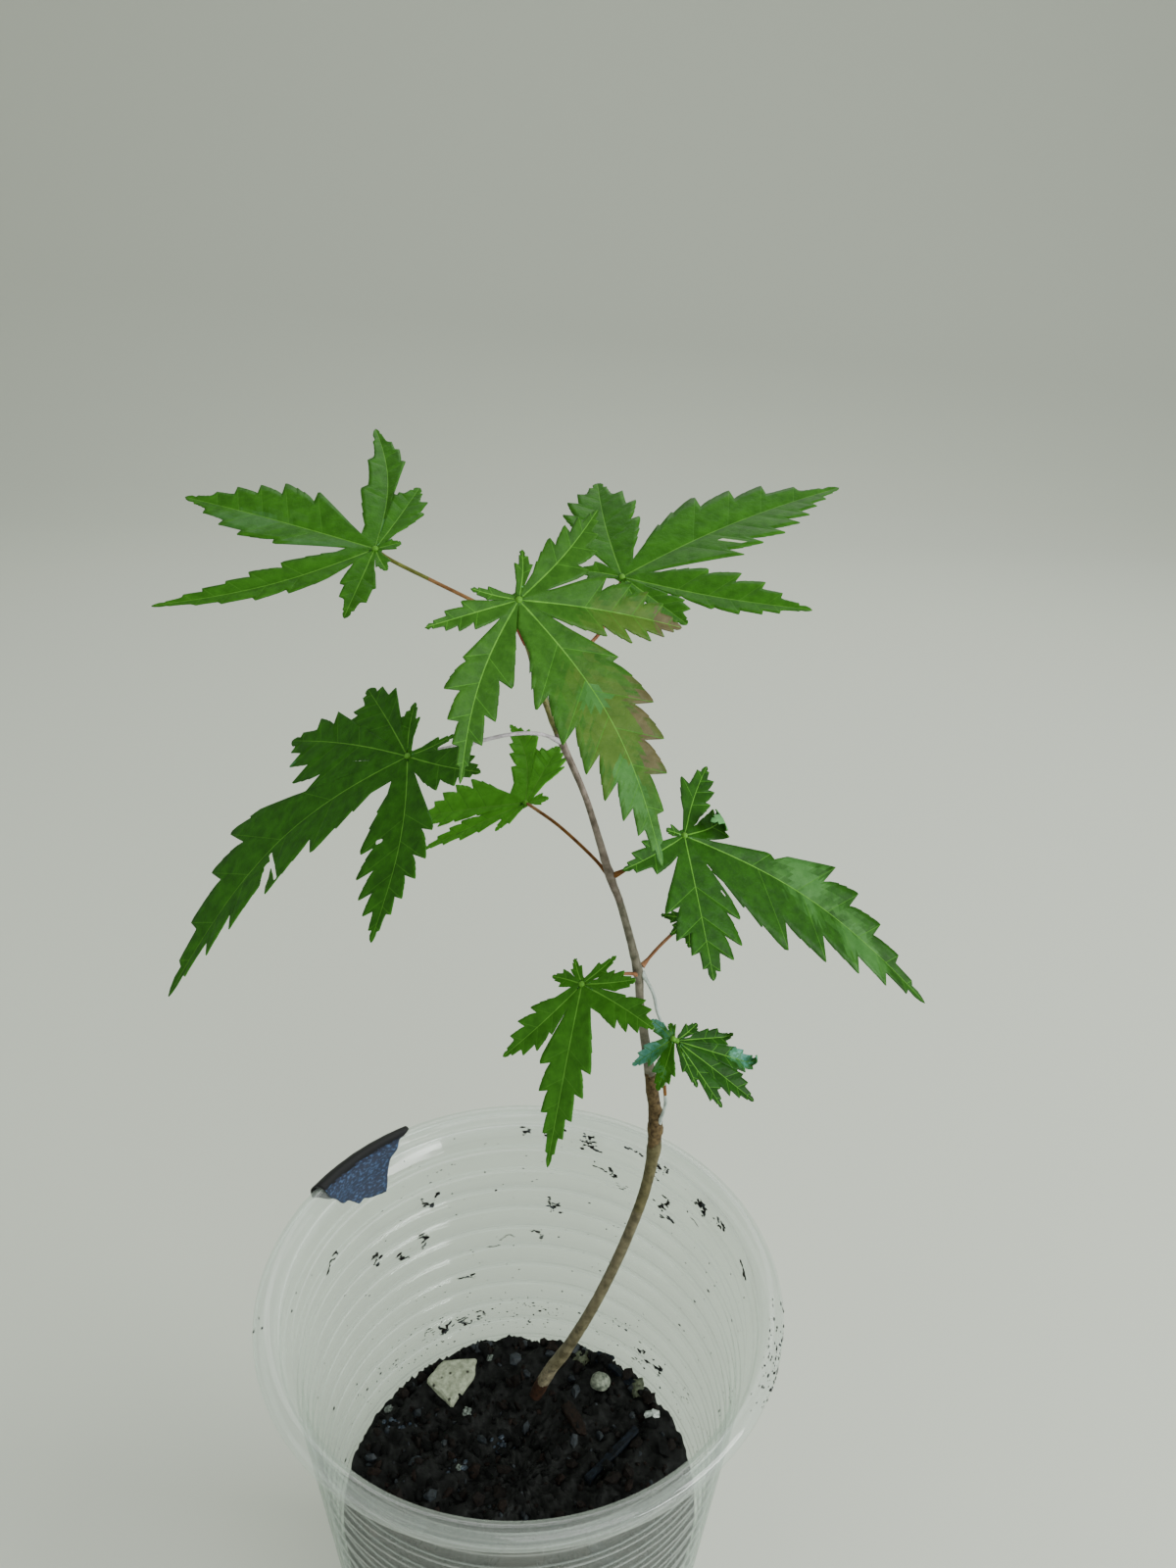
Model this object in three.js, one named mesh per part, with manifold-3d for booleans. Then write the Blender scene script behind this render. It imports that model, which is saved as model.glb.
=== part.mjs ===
// Young Japanese maple in a ribbed clear drinking cup. Millimetres, +Z up, the front toward -Y.
// The origin is the centre of the cup's flat underside.
import * as THREE from 'three';
import Module from 'manifold-3d';

const wasm = await Module();
wasm.setup();

// Cup: thin tapered wall with horizontal ribs and a rolled lip.
const CUP_HEIGHT = 94.5;
const RIM_RADIUS = 35;
const LIP_ROUND = 1.5;
const INNER_BASE_RADIUS = 21.15;
const TAPER = 0.1;
const WALL = 0.7;
const FLOOR = 1;
const FOOT_ROUND = 1.4;
const RIB_PITCH = 3.8;
const RIB_DEPTH = 0.45;
const FIRST_RIB = 5;
const RIB_COUNT = 21;
const CUP_SEGMENTS = 48;

// Potting mix: fills the cup to a little over half its height.
const SOIL_TOP = 51.6;

// Pebble on the mix: half its size each way, and its middle.
const PEBBLE_HALF = [1.7, 1.5, 1.3];
const PEBBLE_AT = [11.8, 16.3, 53.4];

// Gap left between two solids that touch on the real plant and pot.
const CLEAR = 0.32;

// Stem: axis points from the ground up, and its radius at each of them.
const STEM = [
  [1.4, 14.5, 52.1, 1.3],
  [3.8, 14.6, 57.9, 1.25],
  [7.1, 14.9, 64, 1.02],
  [10.7, 15.4, 73.6, 0.92],
  [14.1, 16.3, 84.1, 0.9],
  [17, 17.4, 94.8, 0.9],
  [18.1, 18.3, 104.8, 1.08],
  [17, 18.9, 113.2, 0.85],
  [15.3, 19.6, 124.5, 0.7],
  [14.6, 20, 130.7, 0.76],
  [12.1, 20.7, 140.3, 0.6],
  [10.4, 21, 144.9, 0.68],
  [7.1, 22, 155.5, 0.52],
  [3.5, 23, 163.6, 0.58],
  [0.8, 23.7, 170.1, 0.44],
  [-1.1, 24, 175.7, 0.44],
];
const STEM_SIDES = 10;
const STEM_RINGS = 42;

// Leaves: cut into toothed lobes that meet near the end of the leaf stalk. Each lobe keeps to FILL of
// the angle to its neighbour, also where it bows, and the blade between two lobes ends SINUS from the
// hub or nearer.
const LEAF_THICKNESS = 0.6;
const STALK_RADIUS = 0.36;
const STALK_SIDES = 6;
const SINUS = 3.4;
const SINUS_SHARE = 0.34;
const BASE_REACH = 0.9;
const BASE_SPREAD = 0.5;
const FILL = 0.44;
const WIDE_GAP = 1.6;
const LEAST_HALF_WIDTH = 0.25;
const NOTCH = 0.62;
const FOLD = 0.12;

// Edges shorter than this are merged away where a stalk runs into its blade.
const SHORTEST_EDGE = 0.005;

// at: where the lobes meet. facing: azimuth and elevation of the upper side, degrees.
// droop: fall of a lobe, mm per mm squared. stalk: axis points from the blade to the stem.
// lobes: angle in the leaf's own plane, length, width, teeth on a side, sideways bow, and a
// number that is lower the nearer to the leaf's centre the lobe is widest.
const LEAVES = [
  {
    name: 'leaf_a', at: [-19.9, 28, 185.6], facing: [268, 66], droop: 0.0012,
    stalk: [[-17.8, 27.6, 184.3], [-12.9, 26.8, 182.2], [-7.6, 25.8, 180], [-3.3, 25, 178],
      [-1.1, 24, 175.4]],
    lobes: [[-156, 27, 5.5, 6, 0.07, 0.65], [-97, 12.5, 4.8, 3, 0], [-62, 4.3, 2.4, 2, -0.03],
      [27, 3.3, 2.2, 2, 0], [75, 13.5, 6.4, 4, -0.01], [100, 27.5, 7.1, 5, -0.06, 0.65],
      [159, 28.5, 11.8, 6, 0, 0.6]],
  },
  {
    name: 'leaf_b', at: [10.4, 31, 182.2], facing: [252, 64], droop: 0.0022,
    stalk: [[9.4, 30, 179.1], [7.8, 28.5, 175.6], [4.7, 26.5, 173.3], [1.6, 25, 173.2], [-0.9, 24, 174.8]],
    lobes: [[-53, 6, 3, 2, 0], [-33, 12, 6, 4, 0], [-1, 24, 7.7, 6, -0.04, 0.65],
      [48, 34, 13.4, 7, 0.02, 0.55], [113, 21.5, 9.4, 4, 0.02], [124, 19, 6.3, 4, 0.02],
      [177, 6.1, 3.5, 2, -0.03]],
  },
  {
    name: 'leaf_c', at: [-1, 7, 186.1], facing: [305, 40], droop: 0.0012,
    stalk: [[-0.3, 10.5, 182], [0.6, 15.5, 176.2], [1.9, 19.8, 170], [3, 22, 165.8], [3.5, 23, 163.6]],
    lobes: [[-174, 11.5, 3.2, 4, 0], [-127, 22, 7.1, 5, -0.06, 0.55], [-79, 32, 10.8, 7, 0.09, 0.5],
      [-18, 20.5, 7.5, 5, 0.02], [33, 17, 5.4, 4, -0.03], [65, 6.2, 2.7, 2, -0.04, 0.65],
      [157, 5.4, 2.1, 2, 0.03]],
  },
  {
    name: 'leaf_d', at: [-14.5, 13, 164.8], facing: [215, 47], droop: 0.0012,
    stalk: [[-10.7, 14.2, 165.3], [-7, 15.5, 165.7], [-2.8, 17.6, 166], [0.7, 20.2, 165.1],
      [3.5, 23, 162.8]],
    lobes: [[-162, 25.5, 10.9, 5, -0.02, 0.8], [-104, 44, 15.9, 7, -0.14],
      [-49, 24, 10.8, 6, 0.07, 0.6], [16, 13, 6.6, 4, -0.02, 0.65], [50, 7.1, 2.3, 2, -0.04],
      [137, 8.5, 3, 2, 0.04, 0.75], [168, 17.5, 8.3, 3, -0.01, 0.75]],
  },
  {
    name: 'leaf_e', at: [-1.7, 33, 149.1], facing: [222, 58], droop: 0.0014,
    stalk: [[-0.4, 31.6, 149], [3.1, 28, 148.3], [7.2, 23.8, 146.6], [10.1, 21, 144.8]],
    lobes: [[-146, 17.5, 9.3, 5, -0.01, 0.65], [-124, 16.5, 4, 5, 0], [-97, 5.8, 2.2, 2, -0.01],
      [41, 3.5, 2.1, 2, 0], [108, 10.5, 7.7, 4, 0], [146, 17.5, 5.7, 6, -0.08, 0.65]],
  },
  {
    name: 'leaf_f', at: [18.9, 14, 154.8], facing: [318, 48], droop: 0.0012,
    stalk: [[18.1, 16, 152.4], [16.2, 18.2, 149.7], [13.6, 20, 147.2], [10.8, 21, 144.9]],
    lobes: [[-179, 11.5, 4.5, 3, 0.02, 0.65], [-117, 18.5, 9.5, 6, 0, 0.6],
      [-56, 41.5, 15.9, 8, 0.07, 0.5], [-7, 9.5, 4, 3, -0.02, 0.75], [32, 12.5, 5.1, 4, 0.03, 0.75],
      [141, 2.6, 2, 2, 0]],
  },
  {
    name: 'leaf_g', at: [21.4, 25, 136.2], facing: [285, 50], droop: 0.002,
    stalk: [[20.1, 24.4, 135], [17.4, 22.6, 133], [15, 20.3, 131.2]],
    lobes: [[-146, 3.8, 1.8, 2, 0], [-102, 4.3, 2.2, 3, 0], [-45, 3.6, 2.2, 2, 0], [18, 3, 2, 2, 0],
      [167, 4, 1.8, 2, 0.02]],
  },
  {
    name: 'leaf_h', at: [6.9, 10, 135.2], facing: [235, 42], droop: 0.0016,
    stalk: [[9.2, 11.5, 134.9], [10.8, 14, 133.9], [12.9, 17.4, 131.9], [14.5, 20, 130]],
    lobes: [[-172, 4.5, 2.4, 2, -0.02], [-117, 14, 5.3, 4, 0.02], [-76, 22.5, 7, 6, 0, 0.6],
      [-7, 11.5, 5.6, 4, 0.02], [26, 7.3, 3.8, 3, -0.02, 0.75], [61, 5.7, 2, 2, -0.02, 0.65],
      [134, 3.6, 1.7, 2, 0.02]],
  },
  {
    name: 'leaf_i', at: [19.9, 15, 122.9], facing: [315, 55], droop: 0.004,
    stalk: [[18.3, 16.4, 123.9], [17.3, 17.6, 125.6], [16.6, 18.8, 127.9], [15, 20, 130.4]],
    lobes: [[-102, 6.7, 2.8, 2, 0], [-88, 10.5, 4, 4, 0], [-65, 13.5, 5.3, 4, 0],
      [-41, 14, 4.5, 5, -0.01, 0.65], [-22, 9.5, 3.6, 4, 0], [6, 4.8, 2.4, 2, -0.02]],
  },
  {
    name: 'leaf_j', at: [17.9, 12.2, 125.2], facing: [215, 45], droop: 0.004,
    stalk: [[18.5, 14, 120.4], [18.7, 15.1, 115.6], [19.1, 16.2, 110.8], [18.5, 18.3, 105.2]],
    lobes: [[-112, 6.5, 3.1, 3, 0, 0.65], [-67, 7, 4, 3, 0.02], [149, 2.4, 1.8, 2, 0],
      [180, 5, 2.4, 2, -0.02]],
  },
];

// Strip of dark tape wrapped over the lip at the back left.
const TAPE_FROM = 125;
const TAPE_TO = 154;
const TAPE_THICKNESS = 0.3;
const TAPE_STEPS = 22;
const TAPE_POINTS = 12;
const TAPE_SHORT = 5;
const TAPE_LONG = 11.5;
const TAPE_WHOLE = 14;
const TAPE_LONGEST_AT = 0.42;

// Looks: one material for each kind of surface.
const green = new THREE.MeshStandardMaterial({ color: 0x3d7a24, roughness: 0.6 });
const bark = new THREE.MeshStandardMaterial({ color: 0x6b5a48, roughness: 0.8 });
const soilLook = new THREE.MeshStandardMaterial({ color: 0x15130f, roughness: 1 });
const cupLook = new THREE.MeshStandardMaterial({
  color: 0xdfeee4, roughness: 0.25, transparent: true, opacity: 0.35,
});
const tapeLook = new THREE.MeshStandardMaterial({ color: 0x1c2740, roughness: 0.7 });
const chipLook = new THREE.MeshStandardMaterial({ color: 0xd8d6c0, roughness: 0.7 });
const pebbleLook = new THREE.MeshStandardMaterial({ color: 0x8d9384, roughness: 0.8 });
const woodChipLook = new THREE.MeshStandardMaterial({ color: 0x3a2a1f, roughness: 0.9 });

const root = new THREE.Group();
root.name = 'potted_japanese_maple';

function addMesh(name, geometry, material) {
  const mesh = new THREE.Mesh(geometry, material);
  mesh.name = name;
  root.add(mesh);
  return mesh;
}

function bodyGeometry(body) {
  const geometry = new THREE.BufferGeometry();
  geometry.setAttribute('position', new THREE.Float32BufferAttribute(body.points.flat(), 3));
  geometry.setIndex(body.faces.flat());
  return geometry;
}

function toSolid(body) {
  const mesh = new wasm.Mesh({
    numProp: 3,
    vertProperties: new Float32Array(body.points.flat()),
    triVerts: new Uint32Array(body.faces.flat()),
  });
  return new wasm.Manifold(mesh);
}

function solidGeometry(solid) {
  const mesh = solid.getMesh();
  const geometry = new THREE.BufferGeometry();
  geometry.setAttribute('position', new THREE.Float32BufferAttribute(mesh.vertProperties, 3));
  geometry.setIndex(Array.from(mesh.triVerts));
  return geometry;
}

// Round bar along a row of axis points with a radius at each, closed by a flat end at both ends.
function bar(axis, radii, sides, firstNormal) {
  const points = [];
  const faces = [];
  let across = new THREE.Vector3(1, 0, 0);
  for (let i = 0; i < axis.length; i += 1) {
    const before = axis[Math.max(i - 1, 0)];
    const after = axis[Math.min(i + 1, axis.length - 1)];
    const along = after.clone().sub(before).normalize();
    if (i === 0 && firstNormal) {
      along.copy(firstNormal);
    }
    if (i === 0 && Math.abs(along.x) > 0.9) {
      across.set(0, 0, 1);
    }
    across = across.clone().addScaledVector(along, -across.dot(along)).normalize();
    const other = along.clone().cross(across);
    for (let k = 0; k < sides; k += 1) {
      const turn = (k / sides) * Math.PI * 2;
      const p = axis[i].clone();
      p.addScaledVector(across, Math.cos(turn) * radii[i]);
      p.addScaledVector(other, Math.sin(turn) * radii[i]);
      points.push(p.toArray());
    }
  }
  const last = axis.length - 1;
  for (let i = 0; i < last; i += 1) {
    for (let k = 0; k < sides; k += 1) {
      const a = i * sides + k;
      const b = i * sides + ((k + 1) % sides);
      faces.push([a, b, b + sides], [a, b + sides, a + sides]);
    }
  }
  for (let k = 1; k < sides - 1; k += 1) {
    faces.push([0, k + 1, k]);
    faces.push([last * sides, last * sides + k, last * sides + k + 1]);
  }
  return { points, faces };
}

// Cup: the profile runs up the outside over the ribs, around the lip and down the smooth inside.
function innerRadius(z) {
  return INNER_BASE_RADIUS + TAPER * z;
}

function cupProfile() {
  const profile = [];
  const put = (r, z) => profile.push(new THREE.Vector2(r, z));
  put(0, 0);
  put(innerRadius(0) + WALL - FOOT_ROUND, 0);
  put(innerRadius(0) + WALL - 0.4, 0.4);
  put(innerRadius(FOOT_ROUND) + WALL, FOOT_ROUND);
  for (let i = 0; i < RIB_COUNT; i += 1) {
    const z = FIRST_RIB + i * RIB_PITCH;
    put(innerRadius(z) + WALL, z - RIB_PITCH / 2);
    put(innerRadius(z) + WALL + RIB_DEPTH, z);
  }
  const band = FIRST_RIB + (RIB_COUNT - 0.5) * RIB_PITCH;
  put(innerRadius(band) + WALL, band);
  put(31.5, CUP_HEIGHT - 5.6);
  put(31.95, CUP_HEIGHT - 4.6);
  const lipRadius = RIM_RADIUS - LIP_ROUND;
  const lipHeight = CUP_HEIGHT - LIP_ROUND;
  for (let turn = -150; turn <= 165; turn += 35) {
    const angle = THREE.MathUtils.degToRad(turn);
    put(lipRadius + LIP_ROUND * Math.cos(angle), lipHeight + LIP_ROUND * Math.sin(angle));
  }
  put(31.25, CUP_HEIGHT - 4.2);
  put(30.8, CUP_HEIGHT - 5.2);
  put(innerRadius(band), band);
  put(innerRadius(FLOOR + 1.5), FLOOR + 1.5);
  put(innerRadius(FLOOR) - 1.6, FLOOR);
  put(0, FLOOR);
  return profile;
}

const cup = new THREE.LatheGeometry(cupProfile(), CUP_SEGMENTS);
cup.rotateX(Math.PI / 2);
addMesh('cup', cup, cupLook);

// Potting mix: a plug that clears the wall and the floor, with a lumpy top.
function relief(x, y) {
  const broad = 0.5 * Math.sin(0.42 * x + 1.3) * Math.cos(0.37 * y - 0.4);
  const lumps = 0.35 * Math.sin(1.05 * x - 0.85 * y + 0.5) + 0.2 * Math.sin(1.7 * x + 2.1 * y);
  const fromStem = Math.hypot(x - STEM[0][0], y - STEM[0][1]);
  const calm = Math.min(1, Math.max(0, (fromStem - 2.2) / 3));
  return SOIL_TOP + calm * (broad + lumps);
}

function soilBody() {
  const points = [];
  const faces = [];
  const sectors = 36;
  const rings = [26, 23.2, 20.2, 17, 13.8, 10.6, 7.4, 4];
  const floor = FLOOR + CLEAR + 0.1;
  const footRadius = innerRadius(FLOOR) - 2.2;
  const ring = (r, zAt) => {
    for (let k = 0; k < sectors; k += 1) {
      const turn = (k / sectors) * Math.PI * 2;
      const x = r * Math.cos(turn);
      const y = r * Math.sin(turn);
      points.push([x, y, zAt(x, y)]);
    }
  };
  ring(footRadius, () => floor);
  ring(innerRadius(4) - CLEAR - 0.1, () => 4);
  for (const r of rings) {
    ring(r, relief);
  }
  const ringCount = rings.length + 2;
  for (let i = 0; i < ringCount - 1; i += 1) {
    for (let k = 0; k < sectors; k += 1) {
      const a = i * sectors + k;
      const b = i * sectors + ((k + 1) % sectors);
      faces.push([a, b, b + sectors], [a, b + sectors, a + sectors]);
    }
  }
  points.push([0, 0, floor]);
  points.push([0, 0, relief(0, 0)]);
  const under = points.length - 2;
  const over = points.length - 1;
  for (let k = 0; k < sectors; k += 1) {
    const next = (k + 1) % sectors;
    faces.push([under, next, k]);
    faces.push([over, (ringCount - 1) * sectors + k, (ringCount - 1) * sectors + next]);
  }
  return { points, faces };
}
addMesh('soil', bodyGeometry(soilBody()), soilLook);

// Loose pieces that lie on the potting mix, each a flat many-sided plate on its highest ground.
function plate(corners, thickness, tilt, sink) {
  let high = -Infinity;
  for (const [x, y] of corners) {
    high = Math.max(high, relief(x, y) - tilt[0] * x - tilt[1] * y);
  }
  const middle = [0, 1].map((i) => corners.reduce((sum, c) => sum + c[i], 0) / corners.length);
  high = Math.max(high, relief(middle[0], middle[1]) - tilt[0] * middle[0] - tilt[1] * middle[1]);
  const points = [];
  const faces = [];
  const count = corners.length;
  for (const lift of [0, thickness]) {
    const shrink = lift === 0 ? 1 : sink;
    for (const [cx, cy] of corners) {
      const x = middle[0] + (cx - middle[0]) * shrink;
      const y = middle[1] + (cy - middle[1]) * shrink;
      points.push([x, y, high + CLEAR + 0.25 + tilt[0] * x + tilt[1] * y + lift]);
    }
  }
  for (let k = 0; k < count; k += 1) {
    const next = (k + 1) % count;
    faces.push([k, next, next + count], [k, next + count, k + count]);
  }
  for (let k = 1; k < count - 1; k += 1) {
    faces.push([0, k + 1, k]);
    faces.push([count, count + k, count + k + 1]);
  }
  return { points, faces };
}
const chipCorners = [[-16.2, 15.8], [-11.8, 11.6], [-8.6, 16.3], [-8.4, 19.2], [-14, 18.8]];
addMesh('white_chip', bodyGeometry(plate(chipCorners, 1, [0.05, 0.12], 0.94)), chipLook);
const stripCorners = [[9.4, 1.3], [10.4, 0.3], [18, 8.8], [17.2, 9.9]];
addMesh('bark_strip', bodyGeometry(plate(stripCorners, 0.9, [0, 0], 0.85)), woodChipLook);
const sliverCorners = [[5.6, 12.2], [8.3, 7.6], [9.9, 7.6], [9, 10.6], [6.9, 13.2]];
addMesh('bark_sliver', bodyGeometry(plate(sliverCorners, 0.9, [0, 0.03], 0.7)), woodChipLook);
const pebble = new THREE.SphereGeometry(1, 10, 7);
pebble.scale(...PEBBLE_HALF);
pebble.translate(...PEBBLE_AT);
addMesh('pebble', pebble, pebbleLook);

// Stem: one tapering bar from its flat cut at the ground to the top pair of leaf stalks.
const stemCurve = new THREE.CatmullRomCurve3(
  STEM.map((s) => new THREE.Vector3(s[0], s[1], s[2])),
  false,
  'centripetal',
);
const stemAxis = [];
const stemRadii = [];
for (let i = 0; i <= STEM_RINGS; i += 1) {
  const t = i / STEM_RINGS;
  stemAxis.push(stemCurve.getPoint(t));
  const place = t * (STEM.length - 1);
  const low = Math.min(Math.floor(place), STEM.length - 2);
  stemRadii.push(STEM[low][3] + (STEM[low + 1][3] - STEM[low][3]) * (place - low));
}
const ground = new THREE.Vector3(0, 0, 1);
addMesh('stem', bodyGeometry(bar(stemAxis, stemRadii, STEM_SIDES, ground)), bark);

function stemNearest(p) {
  let best = { gap: Infinity };
  for (let i = 0; i < stemAxis.length - 1; i += 1) {
    const line = new THREE.Line3(stemAxis[i], stemAxis[i + 1]);
    const near = line.closestPointToPoint(p, true, new THREE.Vector3());
    const radius = Math.max(stemRadii[i], stemRadii[i + 1]);
    const gap = near.distanceTo(p) - radius;
    if (gap < best.gap) {
      best = { gap, toward: near.clone().sub(p).normalize() };
    }
  }
  return best;
}

// Leaf stalk: runs from inside the blade to the stem and stops just clear of it.
function stalkBody(leaf) {
  const way = [leaf.at, ...leaf.stalk].map((p) => new THREE.Vector3(...p));
  const curve = new THREE.CatmullRomCurve3(way, false, 'centripetal');
  const samples = curve.getSpacedPoints(60);
  const axis = [];
  for (let i = 0; i < samples.length - 1; i += 1) {
    const along = samples[i + 1].clone().sub(samples[i]).normalize();
    const near = stemNearest(samples[i]);
    const reach = STALK_RADIUS * along.clone().cross(near.toward).length();
    if (near.gap < CLEAR + reach) {
      break;
    }
    axis.push(samples[i]);
  }
  const kept = axis.filter((p, i) => i % 6 === 0 || i === axis.length - 1);
  return bar(kept, kept.map(() => STALK_RADIUS), STALK_SIDES);
}

// Blade: lobes laid out flat around the point where they meet, lifted into their droop and fold.
function bladeBody(leaf) {
  const [azimuth, elevation] = leaf.facing.map((a) => THREE.MathUtils.degToRad(a));
  const n = new THREE.Vector3(
    Math.cos(elevation) * Math.cos(azimuth),
    Math.cos(elevation) * Math.sin(azimuth),
    Math.sin(elevation),
  );
  const u = new THREE.Vector3(-Math.sin(azimuth), Math.cos(azimuth), 0);
  const v = n.clone().cross(u);
  const centre = new THREE.Vector3(...leaf.at);
  const flat = [];
  const faces = [];
  const point = (x, y, lift) => flat.push([x, y, lift - leaf.droop * (x * x + y * y)]) - 1;
  const hub = point(0, 0, 0);
  const lobes = leaf.lobes.map(([angle, length, width, teeth, bow, shape = 0.7]) => ({
    angle: THREE.MathUtils.degToRad(angle), length, width, teeth, bow, shape,
  }));
  lobes.sort((p, q) => p.angle - q.angle);
  const gaps = lobes.map((lobe, i) => {
    const next = lobes[(i + 1) % lobes.length];
    const gap = next.angle - lobe.angle;
    return gap > 0 ? gap : gap + Math.PI * 2;
  });
  const widest = gaps.indexOf(Math.max(...gaps));
  const order = lobes.map((lobe, i) => (widest + 1 + i) % lobes.length);
  const sinusAt = (angle, reach) => point(reach * Math.cos(angle), reach * Math.sin(angle), 0);
  let right = sinusAt(lobes[order[0]].angle - BASE_SPREAD, BASE_REACH);
  const firstRight = right;
  let rightGap = 1;
  order.forEach((index, place) => {
    const lobe = lobes[index];
    const last = place === order.length - 1;
    const next = lobes[order[(place + 1) % order.length]];
    const leftGap = last ? 1 : gaps[index];
    const reach = Math.min(SINUS, SINUS_SHARE * Math.min(lobe.length, next.length));
    const left = last
      ? sinusAt(lobe.angle + BASE_SPREAD, BASE_REACH)
      : sinusAt(lobe.angle + leftGap / 2, reach);
    const start = Math.min(SINUS, 0.3 * lobe.length);
    const axisPoint = (along) => {
      const t = along / lobe.length;
      const bow = lobe.bow * lobe.length * Math.sin(Math.PI * t);
      return [
        along * Math.cos(lobe.angle) - bow * Math.sin(lobe.angle),
        along * Math.sin(lobe.angle) + bow * Math.cos(lobe.angle),
      ];
    };
    const edgePoint = (along, across, side) => {
      const sway = side * lobe.bow * lobe.length * Math.sin(Math.PI * (along / lobe.length));
      const limit = along * Math.tan(FILL * Math.min(side > 0 ? leftGap : rightGap, WIDE_GAP)) - sway;
      const w = Math.max(LEAST_HALF_WIDTH, Math.min(across, limit));
      const [x, y] = axisPoint(along);
      return point(x - side * w * Math.sin(lobe.angle), y + side * w * Math.cos(lobe.angle), FOLD * w);
    };
    const [sx, sy] = axisPoint(start * 0.8);
    let row = [right, point(sx, sy, 0), left];
    faces.push([hub, row[0], row[1]], [hub, row[1], row[2]]);
    const run = lobe.length - start;
    const envelope = (t) => (
      (lobe.width / 2) * Math.sin(Math.PI * Math.min(t, 1) ** lobe.shape) ** 0.9
    );
    const step = 1 / (lobe.teeth + 0.6);
    for (let i = 1; i <= lobe.teeth; i += 1) {
      const t = (i - 0.35) * step;
      const toothAlong = start + (t + 0.32 * step) * run;
      const notchAlong = start + (t + 0.36 * step) * run;
      const rows = [
        [t + 0.1 * step, toothAlong, envelope(t)],
        [t + 0.34 * step, notchAlong, NOTCH * envelope(t + 0.3 * step)],
      ];
      for (const [middleT, along, across] of rows) {
        const [mx, my] = axisPoint(start + middleT * run);
        const fresh = [edgePoint(along, across, -1), point(mx, my, 0), edgePoint(along, across, 1)];
        faces.push([row[0], fresh[0], fresh[1]], [row[0], fresh[1], row[1]]);
        faces.push([row[1], fresh[1], fresh[2]], [row[1], fresh[2], row[2]]);
        row = fresh;
      }
    }
    const [tx, ty] = axisPoint(lobe.length);
    const tip = point(tx, ty, 0);
    faces.push([row[0], tip, row[1]], [row[1], tip, row[2]]);
    right = left;
    rightGap = leftGap;
  });
  faces.push([hub, right, firstRight]);
  const place = (p, lift) => {
    const q = centre.clone().addScaledVector(u, p[0]).addScaledVector(v, p[1]);
    return q.addScaledVector(n, p[2] + lift).toArray();
  };
  const count = flat.length;
  const points = [
    ...flat.map((p) => place(p, LEAF_THICKNESS / 2)),
    ...flat.map((p) => place(p, -LEAF_THICKNESS / 2)),
  ];
  const edges = new Map();
  for (const [a, b, c] of faces) {
    for (const [p, q] of [[a, b], [b, c], [c, a]]) {
      edges.set(`${p},${q}`, [p, q]);
    }
  }
  const sides = [];
  for (const [p, q] of edges.values()) {
    if (!edges.has(`${q},${p}`)) {
      sides.push([p, p + count, q + count], [p, q + count, q]);
    }
  }
  const under = faces.map(([a, b, c]) => [a + count, c + count, b + count]);
  return { points, faces: [...faces, ...under, ...sides] };
}

for (const leaf of LEAVES) {
  const whole = toSolid(bladeBody(leaf)).add(toSolid(stalkBody(leaf))).simplify(SHORTEST_EDGE);
  addMesh(leaf.name, solidGeometry(whole), green);
}

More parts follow.
